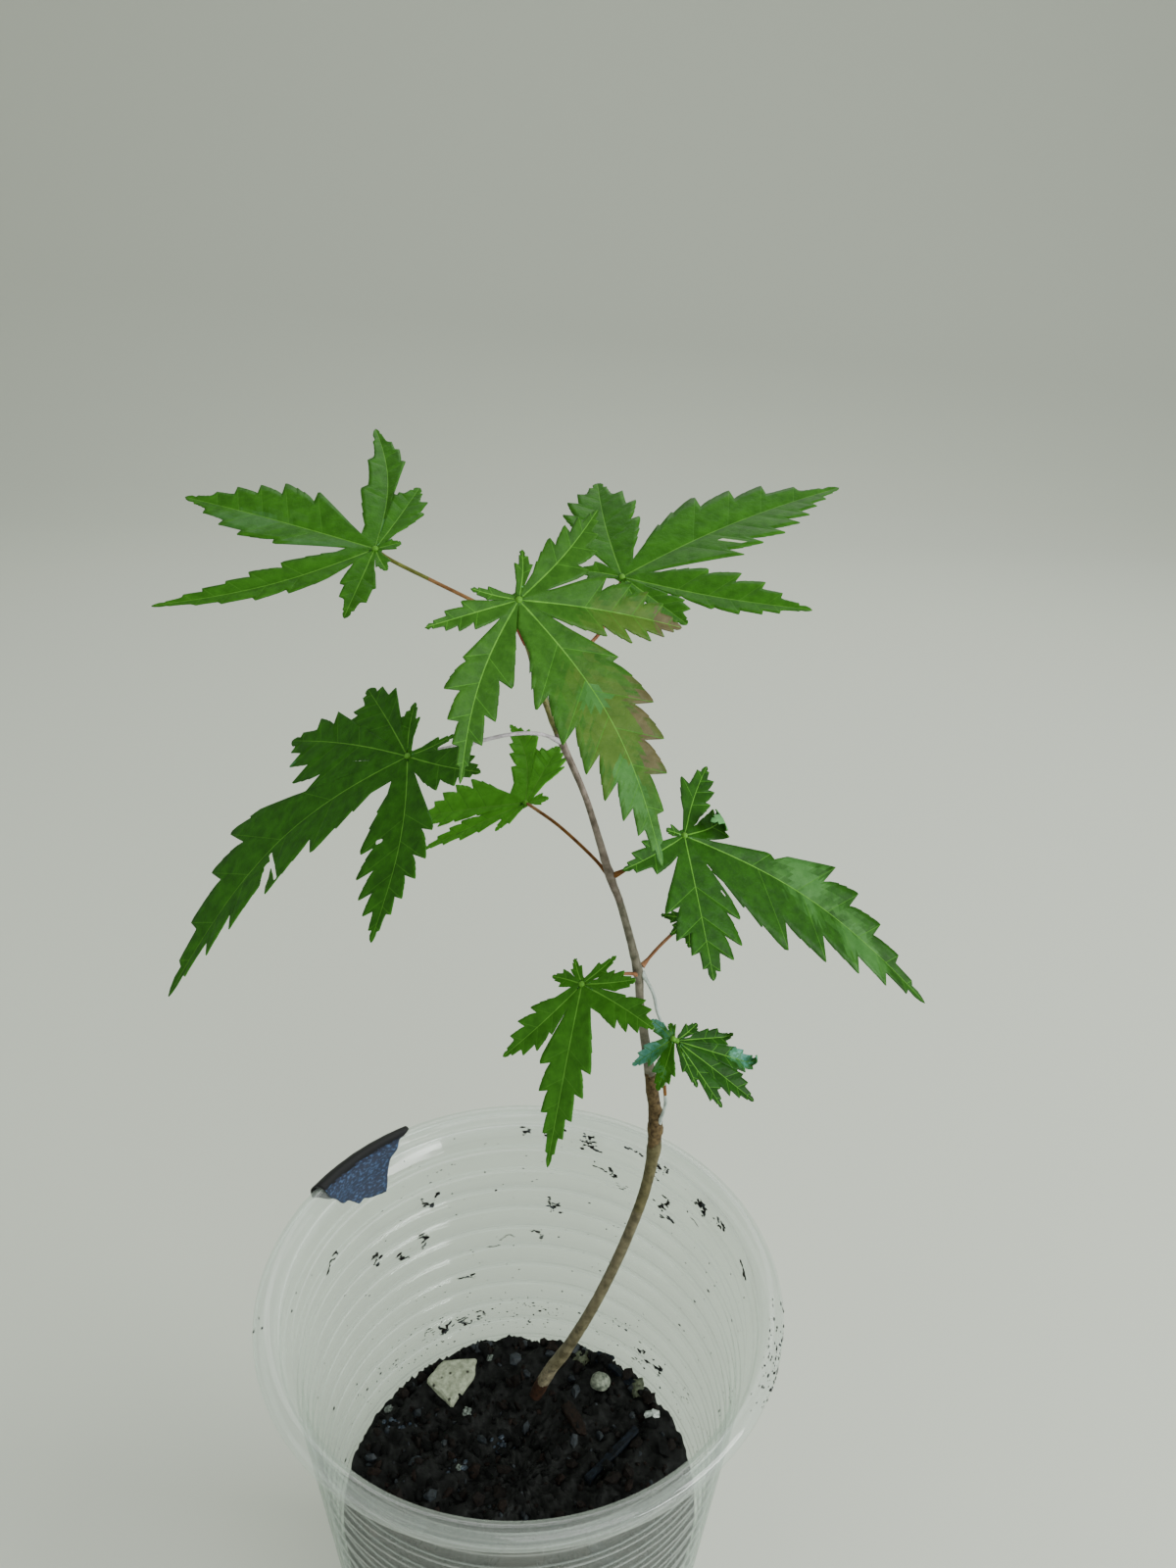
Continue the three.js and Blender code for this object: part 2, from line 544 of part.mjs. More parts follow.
// Tape: a bent sheet that follows the outside of the wall, the lip and a little of the inside.
function tapeBody() {
  const points = [];
  const faces = [];
  const lipRadius = RIM_RADIUS - LIP_ROUND;
  const lipHeight = CUP_HEIGHT - LIP_ROUND;
  // One row across the tape: from the inside of the lip, over it and down the wall for a length.
  const wayRow = (length, lift) => {
    const grow = LIP_ROUND + CLEAR + lift;
    const way = [];
    for (let turn = 145; turn >= -110; turn -= 15) {
      const angle = THREE.MathUtils.degToRad(turn);
      const out = grow * Math.cos(angle);
      const up = grow * Math.sin(angle);
      way.push(new THREE.Vector2(lipRadius + out, lipHeight + up));
    }
    way.push(new THREE.Vector2(lipRadius - 1 + lift, lipHeight - 2.3 - lift * 0.3));
    way.push(new THREE.Vector2(lipRadius - 2.2 + lift, lipHeight - 8.3));
    const share = length / TAPE_WHOLE;
    const row = [];
    let total = 0;
    const sums = way.map((p, i) => {
      total += i === 0 ? 0 : p.distanceTo(way[i - 1]);
      return total;
    });
    for (let j = 0; j < TAPE_POINTS; j += 1) {
      const goal = (total * share * j) / (TAPE_POINTS - 1);
      const k = Math.max(1, sums.findIndex((sum) => sum >= goal - 1e-9));
      const part = (goal - sums[k - 1]) / (sums[k] - sums[k - 1]);
      row.push(way[k - 1].clone().lerp(way[k], part));
    }
    return row;
  };
  for (let i = 0; i <= TAPE_STEPS; i += 1) {
    const t = i / TAPE_STEPS;
    const turn = THREE.MathUtils.degToRad(TAPE_FROM + (TAPE_TO - TAPE_FROM) * t);
    const middle = Math.max(0, 1 - Math.abs(t - TAPE_LONGEST_AT) / 0.36);
    const length = TAPE_SHORT + (TAPE_LONG - TAPE_SHORT) * Math.min(1, middle * 1.5);
    for (const lift of [0, TAPE_THICKNESS]) {
      for (const p of wayRow(length, lift)) {
        points.push([p.x * Math.cos(turn), p.x * Math.sin(turn), p.y]);
      }
    }
  }
  const at = (i, layer, j) => (i * 2 + layer) * TAPE_POINTS + j;
  for (let i = 0; i < TAPE_STEPS; i += 1) {
    for (let j = 0; j < TAPE_POINTS - 1; j += 1) {
      faces.push([at(i, 0, j), at(i + 1, 0, j), at(i + 1, 0, j + 1)]);
      faces.push([at(i, 0, j), at(i + 1, 0, j + 1), at(i, 0, j + 1)]);
      faces.push([at(i, 1, j), at(i + 1, 1, j + 1), at(i + 1, 1, j)]);
      faces.push([at(i, 1, j), at(i, 1, j + 1), at(i + 1, 1, j + 1)]);
    }
    for (const [j, flip] of [[0, false], [TAPE_POINTS - 1, true]]) {
      const quad = [at(i, 0, j), at(i, 1, j), at(i + 1, 1, j), at(i + 1, 0, j)];
      const [a, b, c, d] = flip ? [quad[0], quad[3], quad[2], quad[1]] : quad;
      faces.push([a, b, c], [a, c, d]);
    }
  }
  for (const [i, flip] of [[0, false], [TAPE_STEPS, true]]) {
    for (let j = 0; j < TAPE_POINTS - 1; j += 1) {
      const quad = [at(i, 0, j), at(i, 0, j + 1), at(i, 1, j + 1), at(i, 1, j)];
      const [a, b, c, d] = flip ? [quad[0], quad[3], quad[2], quad[1]] : quad;
      faces.push([a, b, c], [a, c, d]);
    }
  }
  return { points, faces };
}
addMesh('tape', bodyGeometry(tapeBody()), tapeLook);

export default root;
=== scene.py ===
"""Young Japanese maple in a ribbed clear drinking cup. The front is toward -Y and sizes are given in mm."""
import math
import random

import bpy
from mathutils import Euler, Matrix, Vector, noise


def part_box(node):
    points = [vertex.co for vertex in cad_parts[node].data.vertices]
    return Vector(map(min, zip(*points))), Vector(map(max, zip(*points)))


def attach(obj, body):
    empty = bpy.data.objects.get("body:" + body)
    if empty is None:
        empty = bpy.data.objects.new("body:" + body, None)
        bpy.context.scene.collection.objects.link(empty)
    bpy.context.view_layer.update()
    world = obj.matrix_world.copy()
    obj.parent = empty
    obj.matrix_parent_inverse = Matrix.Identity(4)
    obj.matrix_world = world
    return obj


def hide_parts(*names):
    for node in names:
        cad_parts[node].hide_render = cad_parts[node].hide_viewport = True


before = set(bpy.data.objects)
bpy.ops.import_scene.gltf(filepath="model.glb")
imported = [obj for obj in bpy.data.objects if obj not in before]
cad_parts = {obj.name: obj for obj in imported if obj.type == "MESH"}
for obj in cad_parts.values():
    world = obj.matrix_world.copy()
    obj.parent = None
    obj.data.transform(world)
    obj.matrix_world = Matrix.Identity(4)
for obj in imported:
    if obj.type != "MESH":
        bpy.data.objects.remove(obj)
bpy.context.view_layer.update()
MM = 0.001

# Cup: thin cloudy plastic with fine ribs all the way up and a rolled lip. It takes its height and rim from
# the CAD cup. The ribs show on the inside too, each crest with a thin bright ring of painted highlight.
CUP_STEPS = 144
RIB_PITCH = 3.8
FIRST_RIB = 5
RIB_COUNT = 21
RIB_DEPTH = 0.45
RIB_DEPTH_INSIDE = 0.55
RIB_POINTS = 8
RIB_SHARPNESS = 6
INNER_BASE_RADIUS = 21.15
TAPER = 0.1
WALL = 0.7
FLOOR = 1
LIP_ROUND = 1.5
# The step in the wall under the lip, outside and inside: radius, and distance below the top.
STEP_OUTSIDE = ((31.4, 5.8), (31.8, 5.2), (31.95, 4.6), (31.7, 4))
STEP_INSIDE = ((31.5, 3.4), (30.85, 4.1), (30.55, 5.2))


def linear(code):
    """Linear colour of an sRGB hex code."""
    channels = [int(code[i:i + 2], 16) / 255 for i in (1, 3, 5)]
    return [c / 12.92 if c <= 0.04045 else ((c + 0.055) / 1.055) ** 2.4 for c in channels] + [1]


def start_material(name, colour, roughness):
    """A new material with a plain Principled shader."""
    made = bpy.data.materials.new(name)
    made.use_nodes = True
    shader = made.node_tree.nodes["Principled BSDF"]
    shader.inputs["Base Color"].default_value = linear(colour)
    shader.inputs["Roughness"].default_value = roughness
    return made, shader


def add(made, kind, values=None, links=None, **settings):
    """Adds a shader node with its settings, its input values and what feeds its inputs."""
    node = made.node_tree.nodes.new(kind)
    for key, value in settings.items():
        setattr(node, key, value)
    for key, value in (values or {}).items():
        node.inputs[key].default_value = value
    for key, source in (links or {}).items():
        made.node_tree.links.new(source, node.inputs[key])
    return node


def two_tones(made, source, dark, light):
    """Colour that runs between two (position, hex colour) stops with a shader value."""
    ramp = add(made, "ShaderNodeValToRGB", links={"Fac": source})
    for stop, (position, code) in zip(ramp.color_ramp.elements, (dark, light)):
        stop.position = position
        stop.color = linear(code)
    return ramp.outputs["Color"]


def primitive(name, make, **settings):
    """A new piece with a name, from one of Blender's mesh primitives."""
    bpy.ops.object.select_all(action="DESELECT")
    make(**settings)
    piece = bpy.context.object
    piece.name = name
    return piece


def mesh_piece(name, points, faces, looks, materials):
    """A new piece from points in metres, faces, the material index of each face and the materials."""
    mesh = bpy.data.meshes.new(name)
    mesh.from_pydata(points, [], faces)
    for made in materials:
        mesh.materials.append(made)
    mesh.polygons.foreach_set("material_index", looks)
    piece = bpy.data.objects.new(name, mesh)
    bpy.context.collection.objects.link(piece)
    return piece


def inner_radius(z):
    """Radius of the inside of the cup at a height."""
    return INNER_BASE_RADIUS + TAPER * z


def turned(name, outline, steps):
    """A closed body turned round the upright axis from (radius, height) points that start and end on it."""
    piece = primitive(name, bpy.ops.mesh.primitive_circle_add, vertices=len(outline), fill_type="NOTHING")
    for vertex, (r, z) in zip(piece.data.vertices, outline):
        vertex.co = (r * MM, 0, z * MM)
    bpy.ops.object.mode_set(mode="EDIT")
    bpy.ops.mesh.select_mode(type="EDGE")
    bpy.ops.mesh.select_all(action="DESELECT")
    bpy.ops.object.mode_set(mode="OBJECT")
    for edge in piece.data.edges:
        edge.select = sorted(edge.vertices) == [0, len(outline) - 1]
    bpy.ops.object.mode_set(mode="EDIT")
    bpy.ops.mesh.delete(type="EDGE")
    bpy.ops.mesh.select_mode(type="VERT")
    bpy.ops.mesh.select_all(action="SELECT")
    bpy.ops.mesh.spin(steps=steps, angle=2 * math.pi, center=(0, 0, 0), axis=(0, 0, 1))
    bpy.ops.mesh.select_all(action="SELECT")
    bpy.ops.mesh.remove_doubles(threshold=0.001 * MM)
    bpy.ops.mesh.delete_loose()
    bpy.ops.mesh.select_all(action="SELECT")
    bpy.ops.mesh.normals_make_consistent(inside=False)
    bpy.ops.object.mode_set(mode="OBJECT")
    bpy.ops.object.shade_smooth_by_angle(angle=math.radians(40))
    return piece


def ribbed(z, side_radius, depth):
    """Radius of one side of the wall at a height, ribs included."""
    phase = (z - FIRST_RIB) / RIB_PITCH
    return side_radius + depth * math.cos(math.pi * phase) ** RIB_SHARPNESS


def cup_outline(rim, top):
    """Half section of the cup: up the outside over the lip and down the inside, in mm."""
    band = FIRST_RIB + (RIB_COUNT - 0.5) * RIB_PITCH
    low = FIRST_RIB - RIB_PITCH / 2
    heights = [low + (band - low) * i / (RIB_COUNT * RIB_POINTS) for i in range(RIB_COUNT * RIB_POINTS + 1)]
    foot = inner_radius(0) + WALL
    points = [(0, 0), (foot - 6, 0), (foot - 1.4, 0), (foot - 0.4, 0.4), (foot + 0.14, 1.4)]
    points += [(ribbed(z, inner_radius(z) + WALL, RIB_DEPTH), z) for z in heights]
    points += [(r, top - drop) for r, drop in STEP_OUTSIDE]
    for turn in range(-135, 166, 15):
        angle = math.radians(turn)
        out, up = LIP_ROUND * math.cos(angle), LIP_ROUND * math.sin(angle)
        points.append((rim - LIP_ROUND + out, top - LIP_ROUND + up))
    points += [(r, top - drop) for r, drop in STEP_INSIDE]
    points += [(ribbed(z, inner_radius(z), RIB_DEPTH_INSIDE), z) for z in reversed(heights)]
    base = inner_radius(1)
    points += [(inner_radius(2.5), 2.5), (base - 0.5, 1.4), (base - 1.6, FLOOR), (0, FLOOR)]
    return points


_, cup_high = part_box("cup")
cup = turned("cup_shell", cup_outline(cup_high.x / MM, cup_high.z / MM), CUP_STEPS)

# Cloudy polypropylene: looked at square on it is a thin milky haze. At its edges and at the lip it grows
# denser, every rib crest carries a thin pale line of painted highlight, and it shines like a polished
# surface.
plastic, shell = start_material("cloudy_polypropylene", "#dfe8e2", 0.2)
shell.inputs["Specular IOR Level"].default_value = 0.6
shell.inputs["Coat Weight"].default_value = 1
shell.inputs["Coat Roughness"].default_value = 0.08
where = add(plastic, "ShaderNodeTexCoord")
parts = add(plastic, "ShaderNodeSeparateXYZ", links={"Vector": where.outputs["Object"]})
rib = add(plastic, "ShaderNodeMapRange", {
    "From Min": FIRST_RIB * MM, "From Max": (FIRST_RIB + RIB_PITCH) * MM, "To Min": 0, "To Max": 1},
    {"Value": parts.outputs["Z"]}, clamp=False)
off_crest = add(plastic, "ShaderNodeMath", {1: 0.5}, {0: rib.outputs[0]}, operation="PINGPONG")
# Painted highlight: the haze is made whiter in a thin line along each rib crest.
crest_painted_highlight = add(plastic, "ShaderNodeMapRange", {"From Min": 0.02, "From Max": 0.09, "To Min": 0.22, "To Max": 0},
            {"Value": off_crest.outputs[0]})
edge_on = add(plastic, "ShaderNodeLayerWeight", {"Blend": 0.3})
haze = add(plastic, "ShaderNodeMapRange", {"To Min": 0.008, "To Max": 0.11},
           {"Value": edge_on.outputs["Facing"]})
lip = add(plastic, "ShaderNodeMapRange", {
    "From Min": cup_high.z - 4 * MM, "From Max": cup_high.z - 2.6 * MM, "To Min": 0, "To Max": 0.09},
    {"Value": parts.outputs["Z"]})
wall = add(plastic, "ShaderNodeMath", links={0: haze.outputs[0], 1: crest_painted_highlight.outputs[0]}, operation="ADD")
whole = add(plastic, "ShaderNodeMath", links={0: wall.outputs[0], 1: lip.outputs[0]}, operation="ADD")
clear = add(plastic, "ShaderNodeBsdfTransparent", {"Color": (0.9, 0.93, 0.91, 1)})
film = add(plastic, "ShaderNodeMixShader",
           links={0: whole.outputs[0], 1: clear.outputs[0], 2: shell.outputs[0]})
shine = add(plastic, "ShaderNodeBsdfGlossy", {"Roughness": 0.09, "Color": (1, 1, 1, 1)})
gloss = add(plastic, "ShaderNodeMapRange", {"To Min": 0.014, "To Max": 0.1},
            {"Value": edge_on.outputs["Facing"]})
mirror = add(plastic, "ShaderNodeMixShader",
             links={0: gloss.outputs[0], 1: film.outputs[0], 2: shine.outputs[0]})
plastic.node_tree.links.new(mirror.outputs[0], plastic.node_tree.nodes["Material Output"].inputs["Surface"])
cup.data.materials.append(plastic)
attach(cup, "root")
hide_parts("cup")

# Potting mix: dark, damp and crumbly, a plug that fills the cup to a little over half its height. The top
# follows the CAD top's broad lumps with finer ones on it, and its edge breaks off short of the wall.
SOIL_TOP = 51.6
SOIL_RADIUS = 26
SOIL_SIDES = 300
SOIL_RINGS = 72
STEM_FOOT = (1.4, 14.5)
soil_low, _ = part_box("soil")


def relief(x, y):
    """Height of the mix at a place: the broad lumps, calm round the stem."""
    broad = 0.5 * math.sin(0.42 * x + 1.3) * math.cos(0.37 * y - 0.4)
    lumps = 0.35 * math.sin(1.05 * x - 0.85 * y + 0.5) + 0.2 * math.sin(1.7 * x + 2.1 * y)
    calm = min(1, max(0, (math.hypot(x - STEM_FOOT[0], y - STEM_FOOT[1]) - 2.2) / 3))
    return SOIL_TOP + calm * (broad + lumps)


def ground(x, y):
    """Height of the mix with its fine crumbs."""
    edge = min(1, max(0, (math.hypot(x, y) - 23) / 3))
    coarse = noise.noise(Vector((x * 0.55, y * 0.55, 3)))
    fine = noise.noise(Vector((x * 1.5, y * 1.5, 9)))
    grit = noise.noise(Vector((x * 3.4, y * 3.4, 21)))
    return relief(x, y) + 0.5 * coarse + 0.55 * fine + 0.3 * grit - edge * (0.7 + 1.6 * fine)


def soil_outline():
    """Half section of the plug from its underside up the side to the middle of its top, in mm."""
    floor = soil_low.z / MM
    side = inner_radius(4) - 0.42
    points = [(0, floor), (side - 1.6, floor), (side, 4)]
    points += [(side + (SOIL_RADIUS - side) * i / 14, 4 + (SOIL_TOP - 4) * i / 14) for i in range(1, 14)]
    points += [(SOIL_RADIUS * (1 - i / SOIL_RINGS), SOIL_TOP) for i in range(SOIL_RINGS + 1)]
    return points


soil = turned("potting_mix", soil_outline(), SOIL_SIDES)
for vertex in soil.data.vertices:
    x, y, z = vertex.co / MM
    if z > SOIL_TOP - 0.5:
        vertex.co.z = ground(x, y) * MM
    elif z > 4.5:
        pull = 1 - 0.006 * (1 + noise.noise(Vector((x * 0.4, y * 0.4, z * 0.4))))
        vertex.co.x *= pull
        vertex.co.y *= pull

# Damp peat: near black, with brown and grey grains a millimetre across, dull with a few wet glints.
peat, shell = start_material("damp_peat", "#0a0b0a", 0.9)
where = add(peat, "ShaderNodeTexCoord")
grains = add(peat, "ShaderNodeTexNoise", {"Scale": 900, "Detail": 6, "Roughness": 0.7},
             {"Vector": where.outputs["Object"]})
tone = two_tones(peat, grains.outputs["Fac"], (0.38, "#030403"), (0.72, "#0e0f0d"))
wet = add(peat, "ShaderNodeMapRange", {"From Min": 0.35, "From Max": 0.65, "To Min": 0.55, "To Max": 0.95},
          {"Value": grains.outputs["Fac"]})
bump = add(peat, "ShaderNodeBump", {"Strength": 0.6, "Distance": 0.3 * MM},
           {"Height": grains.outputs["Fac"]})
shell.inputs["Specular IOR Level"].default_value = 0.25
peat.node_tree.links.new(tone, shell.inputs["Base Color"])
peat.node_tree.links.new(wet.outputs[0], shell.inputs["Roughness"])
peat.node_tree.links.new(bump.outputs["Normal"], shell.inputs["Normal"])
soil.data.materials.append(peat)
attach(soil, "root")
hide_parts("soil")

# Crumbs: angular bits of peat and fine bark lying all over the mix in four dark tones, with bluish grains in
# patches among them.
CRUMBS = 950
CRUMB_SIZES = (0.35, 1.5)
CRUMB_SPREAD = 25.4
CRUMB_EDGE = 25.8
STEM_CLEARANCE = 2.4
WALL_CRUMBS = 60
WALL_CRUMB_EDGE = 25.6


def lump(middle, half, turn, rng, roughness=0.25):
    """Points of a small angular lump: a rough icosahedron scaled, turned and placed, in mm."""
    phi = (1 + 5 ** 0.5) / 2
    corners = [(-1, phi, 0), (1, phi, 0), (-1, -phi, 0), (1, -phi, 0), (0, -1, phi), (0, 1, phi),
               (0, -1, -phi), (0, 1, -phi), (phi, 0, -1), (phi, 0, 1), (-phi, 0, -1), (-phi, 0, 1)]
    turned_by = Euler(turn).to_matrix()
    points = []
    for corner in corners:
        point = Vector(corner).normalized() * rng.uniform(1 - roughness, 1 + roughness)
        point = Vector(p * h for p, h in zip(point, half))
        points.append(Vector(middle) + turned_by @ point)
    return points


LUMP_FACES = ((0, 11, 5), (0, 5, 1), (0, 1, 7), (0, 7, 10), (0, 10, 11), (1, 5, 9), (5, 11, 4), (11, 10, 2),
              (10, 7, 6), (7, 1, 8), (3, 9, 4), (3, 4, 2), (3, 2, 6), (3, 6, 8), (3, 8, 9), (4, 9, 5),
              (2, 4, 11), (6, 2, 10), (8, 6, 7), (9, 8, 1))


def lumps_mesh(name, rows, materials):
    """One joined piece from rows of (points, material index)."""
    points = []
    faces = []
    looks = []
    for lump_points, look in rows:
        start = len(points)
        points += [p * MM for p in lump_points]
        faces += [tuple(start + k for k in face) for face in LUMP_FACES]
        looks += [look] * len(LUMP_FACES)
    return mesh_piece(name, points, faces, looks, materials)


def speckled(name, dark, light, roughness, size=0.5, sheen=0.3):
    """A rough natural material that drifts between two colours over a size in mm."""
    made, shader = start_material(name, dark, roughness)
    place = add(made, "ShaderNodeTexCoord")
    drift = add(made, "ShaderNodeTexNoise", {"Scale": 1 / (size * MM), "Detail": 5, "Roughness": 0.65},
                {"Vector": place.outputs["Object"]})
    tone = two_tones(made, drift.outputs["Fac"], (0.36, dark), (0.66, light))
    uneven = add(made, "ShaderNodeBump", {"Strength": 0.45, "Distance": 0.2 * size * MM},
                 {"Height": drift.outputs["Fac"]})
    made.node_tree.links.new(tone, shader.inputs["Base Color"])
    made.node_tree.links.new(uneven.outputs["Normal"], shader.inputs["Normal"])
    shader.inputs["Specular IOR Level"].default_value = sheen
    return made


crumb_looks = [
    speckled("crumb_black", "#030403", "#090909", 0.85, sheen=0.15),
    speckled("crumb_brown", "#080504", "#130d09", 0.8, sheen=0.15),
    speckled("crumb_umber", "#0e0806", "#1c130e", 0.85, sheen=0.15),
    speckled("crumb_grey", "#0e1215", "#23292f", 0.65, sheen=0.35),
    speckled("crumb_bluish", "#0f171f", "#22303f", 0.5, sheen=0.4),
]
rng = random.Random(11)
rows = []
for k in range(CRUMBS):
    r = CRUMB_SPREAD * rng.random() ** 0.5
    turn = rng.uniform(0, 2 * math.pi)
    x, y = r * math.cos(turn), r * math.sin(turn)
    if math.hypot(x - STEM_FOOT[0], y - STEM_FOOT[1]) < STEM_CLEARANCE:
        continue
    size = CRUMB_SIZES[0] + (CRUMB_SIZES[1] - CRUMB_SIZES[0]) * rng.random() ** 3.2
    half = (size, size * rng.uniform(0.5, 0.95), size * rng.uniform(0.4, 0.75))
    spin = [rng.uniform(0, 6.3) for _ in range(3)]
    if r + size > CRUMB_EDGE:
        continue
    spot = (x, y, ground(x, y) + 0.25 * size)
    rows.append((lump(spot, half, spin, rng), rng.choice((0, 0, 0, 1, 1, 2, 3))))
# Bluish grains gathered in three patches, and coarse lumps leaning on the wall at the back.
for x, y, count in ((-9.4, 1.9, 7), (-3, 6.2, 14), (-19.5, 8.5, 8)):
    for _ in range(count):
        spot = (x + rng.gauss(0, 1), y + rng.gauss(0, 0.8))
        size = rng.uniform(0.25, 0.6)
        half = (size, size * 0.8, size * 0.6)
        rows.append((lump((*spot, ground(*spot) + 0.3 * size), half, (0, 0, 1), rng), 4))
for _ in range(WALL_CRUMBS):
    turn = math.radians(rng.uniform(35, 150))
    size = rng.uniform(0.5, 1.3)
    r = WALL_CRUMB_EDGE - size
    x, y = r * math.cos(turn), r * math.sin(turn)
    half = (size, size * 0.8, size * rng.uniform(0.5, 0.9))
    spot = (x, y, ground(x, y) + 0.55 * size)
    rows.append((lump(spot, half, (0, 0, turn), rng), rng.choice((0, 0, 1, 3))))
crumbs = lumps_mesh("soil_crumbs", rows, crumb_looks)
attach(crumbs, "root")

# Flat pieces on the mix: a cream mineral chip, strips of bark and dark flakes, each cut to its outline,
# bevelled and roughened.
CHIP = ((-16.2, 15.8), (-11.8, 11.6), (-8.6, 16.3), (-8.4, 19.2), (-14, 18.8))
STRIP = ((9.4, 1.3), (10.4, 0.3), (18, 8.8), (17.2, 9.9))
SLIVER = ((5.6, 12.2), (8.3, 7.6), (9.9, 7.6), (9, 10.6), (6.9, 13.2))

# The noise vectors that roughen the flakes are seeded here, since Blender otherwise draws them by the clock.
NOISE_SEED = 7
noise.seed_set(NOISE_SEED)


def flake(name, corners, thickness, tilt, look, bevel=0.18, rough=0.12, lift=0.1):
    """A flat angular piece with the given outline, lying on the mix under it."""
    middle = (sum(x for x, _ in corners) / len(corners), sum(y for _, y in corners) / len(corners))
    spots = [*corners, middle]
    seat = max(ground(x, y) - tilt[0] * (x - middle[0]) - tilt[1] * (y - middle[1]) for x, y in spots) - 0.35
    piece = primitive(name, bpy.ops.mesh.primitive_circle_add, vertices=len(corners), fill_type="NGON")
    for vertex, (x, y) in zip(piece.data.vertices, corners):
        rise = tilt[0] * (x - middle[0]) + tilt[1] * (y - middle[1])
        vertex.co = Vector((x, y, seat + lift + rise)) * MM
    bpy.ops.object.mode_set(mode="EDIT")
    bpy.ops.mesh.select_all(action="SELECT")
    bpy.ops.mesh.extrude_region_move(TRANSFORM_OT_translate={"value": (0, 0, thickness * MM)})
    bpy.ops.mesh.select_all(action="SELECT")
    bpy.ops.mesh.normals_make_consistent(inside=False)
    bpy.ops.mesh.bevel(offset=bevel * MM, segments=1)
    bpy.ops.mesh.select_all(action="SELECT")
    bpy.ops.mesh.quads_convert_to_tris()
    bpy.ops.mesh.subdivide(number_cuts=3)
    bpy.ops.object.mode_set(mode="OBJECT")
    for vertex in piece.data.vertices:
        place = vertex.co / MM
        shift = noise.noise_vector(place * 0.9) * rough + noise.noise_vector(place * 2.6) * rough * 0.5
        vertex.co += shift * MM
    bpy.ops.object.shade_smooth_by_angle(angle=math.radians(28))
    piece.data.materials.append(look)
    return piece


# Cream mineral: pale and chalky, with black specks.
mineral = speckled("cream_mineral", "#747966", "#a2a892", 0.75, size=0.8, sheen=0.2)
shader = mineral.node_tree.nodes["Principled BSDF"]
where = add(mineral, "ShaderNodeTexCoord")
dots = add(mineral, "ShaderNodeTexVoronoi", {"Scale": 620}, {"Vector": where.outputs["Object"]})
dark_dot = add(mineral, "ShaderNodeMapRange", {"From Min": 0.1, "From Max": 0.22, "To Min": 1, "To Max": 0},
               {"Value": dots.outputs["Distance"]})
pale = shader.inputs["Base Color"].links[0].from_socket
dotted = add(mineral, "ShaderNodeMix", {7: linear("#2b2922")}, {0: dark_dot.outputs[0], 6: pale},
             data_type="RGBA")
mineral.node_tree.links.new(dotted.outputs[2], shader.inputs["Base Color"])
chip = flake("mineral_chip", CHIP, 1.3, (0.05, 0.16), mineral, bevel=0.3, rough=0.2, lift=0.6)
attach(chip, "root")
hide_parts("white_chip")

# Bark: dark reddish brown, drier and greyer on its raised grain.
wood = speckled("old_bark", "#0b0704", "#1f140e", 0.75, size=0.7, sheen=0.15)
slate_bark = speckled("bluish_bark", "#05070a", "#111923", 0.75, size=0.8, sheen=0.15)
strip = flake("long_bark_strip", STRIP, 1, (0.02, 0), slate_bark, rough=0.25)
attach(strip, "root")
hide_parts("bark_strip")
sliver = flake("reddish_bark_sliver", SLIVER, 1, (0, 0.05), wood, rough=0.25)
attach(sliver, "root")
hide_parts("bark_sliver")

# More flakes that lie loose: name, outline, thickness and look.
LOOSE = (
    ("flake_back", ((2.6, 23.1), (5.4, 22.4), (6.4, 24), (3.6, 24.8)), 0.7, wood),
    ("flake_right", ((10.3, 21.2), (13.2, 20.6), (14.2, 22.2), (11.2, 23.1)), 1, slate_bark),
    ("flake_curved", ((12.4, 20.6), (13.6, 20.8), (17.6, 17.2), (16.6, 16.2)), 0.8, slate_bark),
    ("flake_front", ((-3.2, -13.2), (2.6, -14.4), (4.4, -10.6), (-1.4, -9.4)), 0.9, wood),
    ("flake_low_right", ((9.4, -9.2), (12.8, -12.2), (14.2, -10.6), (11, -7.6)), 0.8, slate_bark),
)
for name, corners, thickness, look in LOOSE:
    loose = flake(name, corners, thickness, (0, 0.03), look, rough=0.3)
    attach(loose, "root")

# Stones: the pebble beside the stem, a quartz grain, an olive stone and white perlite.
quartz = speckled("quartz_grain", "#6f7872", "#d3dad4", 0.3, size=0.9, sheen=0.6)
olive_stone = speckled("olive_stone", "#2b3024", "#565c46", 0.6, size=0.8)
grey_stone = speckled("grey_pebble", "#3d443a", "#8a9080", 0.65, size=0.7)
perlite = speckled("white_perlite", "#2b302d", "#747c75", 0.85, size=0.35, sheen=0.2)


def stone(name, middle, half, turn, look, rough=0.16):
    """A rounded stone: an icosphere scaled, turned and made uneven, in mm."""
    piece = primitive(name, bpy.ops.mesh.primitive_ico_sphere_add, subdivisions=4, radius=MM)
    place = Matrix.Translation(Vector(middle) * MM) @ Euler(turn).to_matrix().to_4x4()
    for vertex in piece.data.vertices:
        direction = vertex.co.normalized()
        broad = noise.noise(direction * 1.4 + Vector(middle))
        swell = 1 + rough * (broad + 0.4 * noise.noise(direction * 4))
        vertex.co = Vector(d * h * MM for d, h in zip(direction * swell, half))
    piece.data.transform(place)
    bpy.ops.object.shade_smooth()
    piece.data.materials.append(look)
    return piece


